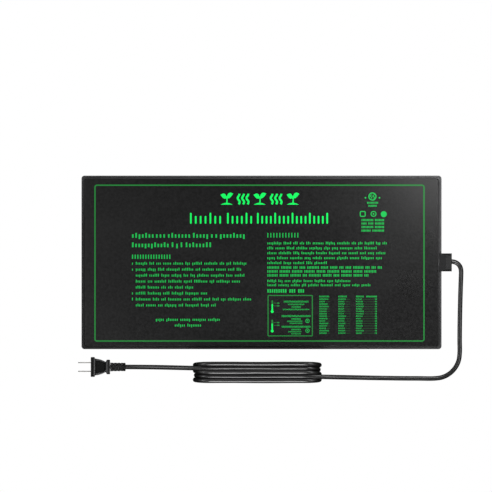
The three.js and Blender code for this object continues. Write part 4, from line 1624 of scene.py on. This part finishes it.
@dataclass
class Plug:
    """The plug: flange, waisted barrel with a sunk panel on each face, collar, slotted relief, blades. Sizes in mm."""

    # each row: place from the front, half width, half height, corner radius. The flange's rows say how much
    # less than its whole half width and half height they are.
    flange_rows: tuple[tuple[float, ...], ...] = (
        (0.0, -0.9, -0.9, 4.4), (0.12, -0.45, -0.45, 4.7), (0.45, -0.12, -0.12, 4.9), (0.95, 0.0, 0.0, 5.0),
        (3.0, 0.0, 0.0, 5.0), (5.0, 0.0, 0.0, 5.0), (5.5, -0.15, -0.15, 4.9), (5.85, -0.5, -0.4, 4.8),
        (6.05, -1.3, -0.9, 4.6),
    )
    shoulder_rows: tuple[tuple[float, ...], ...] = ((6.15, 12.6, 7.95, 4.2), (6.5, 12.35, 7.75, 4.0))
    collar_rows: tuple[tuple[float, ...], ...] = (
        (22.0, 7.7, 7.75, 4.0), (22.3, 8.6, 7.75, 4.2), (22.9, 9.7, 7.75, 4.6), (23.6, 10.4, 7.75, 4.9),
        (24.2, 10.65, 7.75, 5.0), (27.0, 10.7, 7.75, 5.0), (27.7, 10.6, 7.65, 4.9), (28.1, 10.3, 7.4, 4.7),
        (28.3, 9.8, 7.0, 4.4),
    )
    barrel_start: float = 6.5
    barrel_length: float = 15.3
    barrel_half_width: float = 12.3
    waist_half_width: float = 7.55
    barrel_half_height: float = 7.75
    barrel_corner: float = 3.9
    panel_ends: tuple[float, float] = (8.1, 20.6)
    panel_depth: float = 1.3
    panel_share: float = 0.74
    panel_edge: float = 0.7
    blade_edge: float = 0.25
    slot_depth: float = 1.25
    slot_pitch: float = 4.9
    slot_start: float = 1.6
    slot_rows: int = 7
    slots_round: int = 8
    relief_bore: float = 3.45
    relief_groove: float = 19.3
    relief_rings: int = 92
    relief_sides: int = 96

    def build(self) -> list[bpy.types.Object]:
        """Makes the plug's pieces.

        Returns:
            The pieces that go with the cord.
        """
        low, high = box_mm("plug_body")
        middle = ((low + high) / 2)[1:]
        flange = (high - low)[1:] / 2
        pieces = [
            settle(self.body(float(low[0]), flange, middle), PLUG_PVC, "plug_pvc", "plug_body"),
            settle(self.strain_relief(middle), PLUG_PVC, "plug_pvc", "plug_strain_relief"),
        ]
        for name, node in (("blade_narrow", "blade_line"), ("blade_wide", "blade_neutral")):
            pieces.append(settle(softened_copy(name, node, self.blade_edge), NICKEL, "nickel", node))
        return pieces

    def body(self, front: float, flange: np.ndarray, middle: np.ndarray) -> bpy.types.Object:
        """Flange, barrel and collar as rounded rectangles along the plug, with the panel sunk by an S step at its rim.

        The barrel narrows to its waist by a quarter of a straight line and three quarters of a power of the place.

        Args:
            front: where the flange starts.
            flange: half of its width and height.
            middle: the Y and Z of the plug's axis.

        Returns:
            The moulding.
        """
        t = np.linspace(0, 1, 40)[1:]
        narrowing = (self.waist_half_width - self.barrel_half_width) * (0.25 * t + 0.75 * t**2.1)
        level = np.ones_like(t)
        barrel = np.column_stack([
            self.barrel_start + self.barrel_length * t, self.barrel_half_width + narrowing,
            self.barrel_half_height * level, self.barrel_corner * level,
        ])
        front_rows = np.array(self.flange_rows) + (0.0, *flange, 0.0)
        rows = np.vstack([front_rows, self.shoulder_rows, barrel, self.collar_rows])
        rings = sections(front + rows[:, 0], *rows[:, 1:].T, side=26)
        along, width = rows[:, 0][:, None], rows[:, 1][:, None]
        off_rim = np.minimum(along - self.panel_ends[0], self.panel_ends[1] - along)
        off_side = self.panel_share * width - np.abs(rings[..., 1])
        on_face = np.abs(rings[..., 2]) > 5.0
        sunk = smooth_step(off_rim / self.panel_edge) * smooth_step(off_side / self.panel_edge) * on_face
        rings[..., 2] -= np.sign(rings[..., 2]) * self.panel_depth * sunk
        # painted highlight lines: across the flange's back, the collar's front and its back, and down the barrel's
        # sides
        cross = bump((along - 5.5) / 0.75) + bump((along - 23.6) / 0.9) + 0.6 * bump((along - 28.1) / 0.5)
        down_sides = bump((np.abs(rings[..., 1]) / width - 0.9) / 0.12) * smooth_step(off_rim + 1.0)
        piece = loft("plug_moulding", rings + (0.0, *middle), 30.0)
        mark_rim(piece, np.clip(cross + down_sides, 0, 1))
        return piece

    def strain_relief(self, middle: np.ndarray) -> bpy.types.Object:
        """A tapered sleeve with staggered slots: the radius drops where the slot pattern, a product of S steps, is 1.

        Args:
            middle: the Y and Z of the plug's axis.

        Returns:
            The sleeve, with its bore open.
        """
        low, high = box_mm("plug_strain_relief")
        x = np.linspace(float(low[0]), float(high[0]), self.relief_rings)
        turn = np.linspace(0, 2 * math.pi, self.relief_sides, endpoint=False)
        travelled = (x - x[0])[:, None]
        length = x[-1] - x[0]
        taper = float(high[1] - low[1]) / 2 - 0.15 * smooth_step(travelled / 2.0) - 0.25 * travelled / length
        rows = (travelled - self.slot_start) / (self.slot_pitch / 2)
        row = np.floor(rows).astype(int)
        sector = (turn / (2 * math.pi) * self.slots_round + 0.5 * (row % 2)) % 1.0
        long_way = smooth_step((0.5 - np.abs(rows - row - 0.5)) / 0.22 - 0.35)
        round_way = smooth_step((0.5 - np.abs(sector - 0.5) - 0.13) / 0.12)
        slot = long_way * round_way * ((rows > 0) & (rows < self.slot_rows))
        radius = taper - self.slot_depth * slot
        radius = radius - 0.8 * smooth_step(travelled - length + 1.0) ** 2
        radius = radius - 0.35 * bump((travelled - self.relief_groove) / 0.5)
        rings = np.concatenate([round_rings(x, radius, turn), round_rings(x[[-1, 0]], self.relief_bore, turn)])
        faces = grid_quads(len(rings), self.relief_sides, round_rows=True, round_columns=True).tolist()
        piece = add_mesh("plug_strain_sleeve", (rings + (0.0, *middle)).reshape(-1, 3), faces)
        # painted highlight along the slots' edges and round the sleeve's first end
        mark_rim(piece, np.clip(2.4 * slot * (1 - slot) + bump(travelled / 0.6), 0, 1))
        return piece


@dataclass
class HeaterCore:
    """The parts under the covers and in the block, whose frame nodes stay and get their finishes."""

    finishes: dict[str, MouldedFinish | MetalFinish | FilmFinish] = field(
        default_factory=lambda: {
            "insulation_pad": FOAM,
            "heat_spreader_foil": FOIL,
            "heating_wire": WIRE_INSULATION,
            "wire_cover_film": CLEAR_FILM,
            "wire_grommet": BLACK_RUBBER,
            "splice_live": TINNED_CRIMP,
            "splice_neutral": TINNED_CRIMP,
            "splice_sleeve_live": SHRINK_SLEEVE,
            "splice_sleeve_neutral": SHRINK_SLEEVE,
            "core_live": BLACK_CORE,
            "core_neutral": WHITE_CORE,
            "cord_clamp": TINNED_CRIMP,
            "plug_insert": INSERT_PLASTIC,
            "plug_core_line": BLACK_CORE,
            "plug_core_neutral": WHITE_CORE,
        }
    )

    def build(self) -> None:
        """Dresses each node."""
        for node, finish in self.finishes.items():
            dress(bpy.data.objects[node], finish)
            LOG.info("%s: dressed as %s", node, finish.name)


def main() -> None:
    """Builds the mat's pieces in order."""
    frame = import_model()
    LOG.info("frame: %d nodes", len(frame["nodes"]))
    Studio().build()
    Cord().build(Plug().build())
    covers = MatCovers()
    covers.build()
    Print(covers).build()
    EntryBlock().build()
    HeaterCore().build()


if __name__ == "__main__":
    logging.basicConfig(level=logging.INFO, format="%(message)s")
    main()
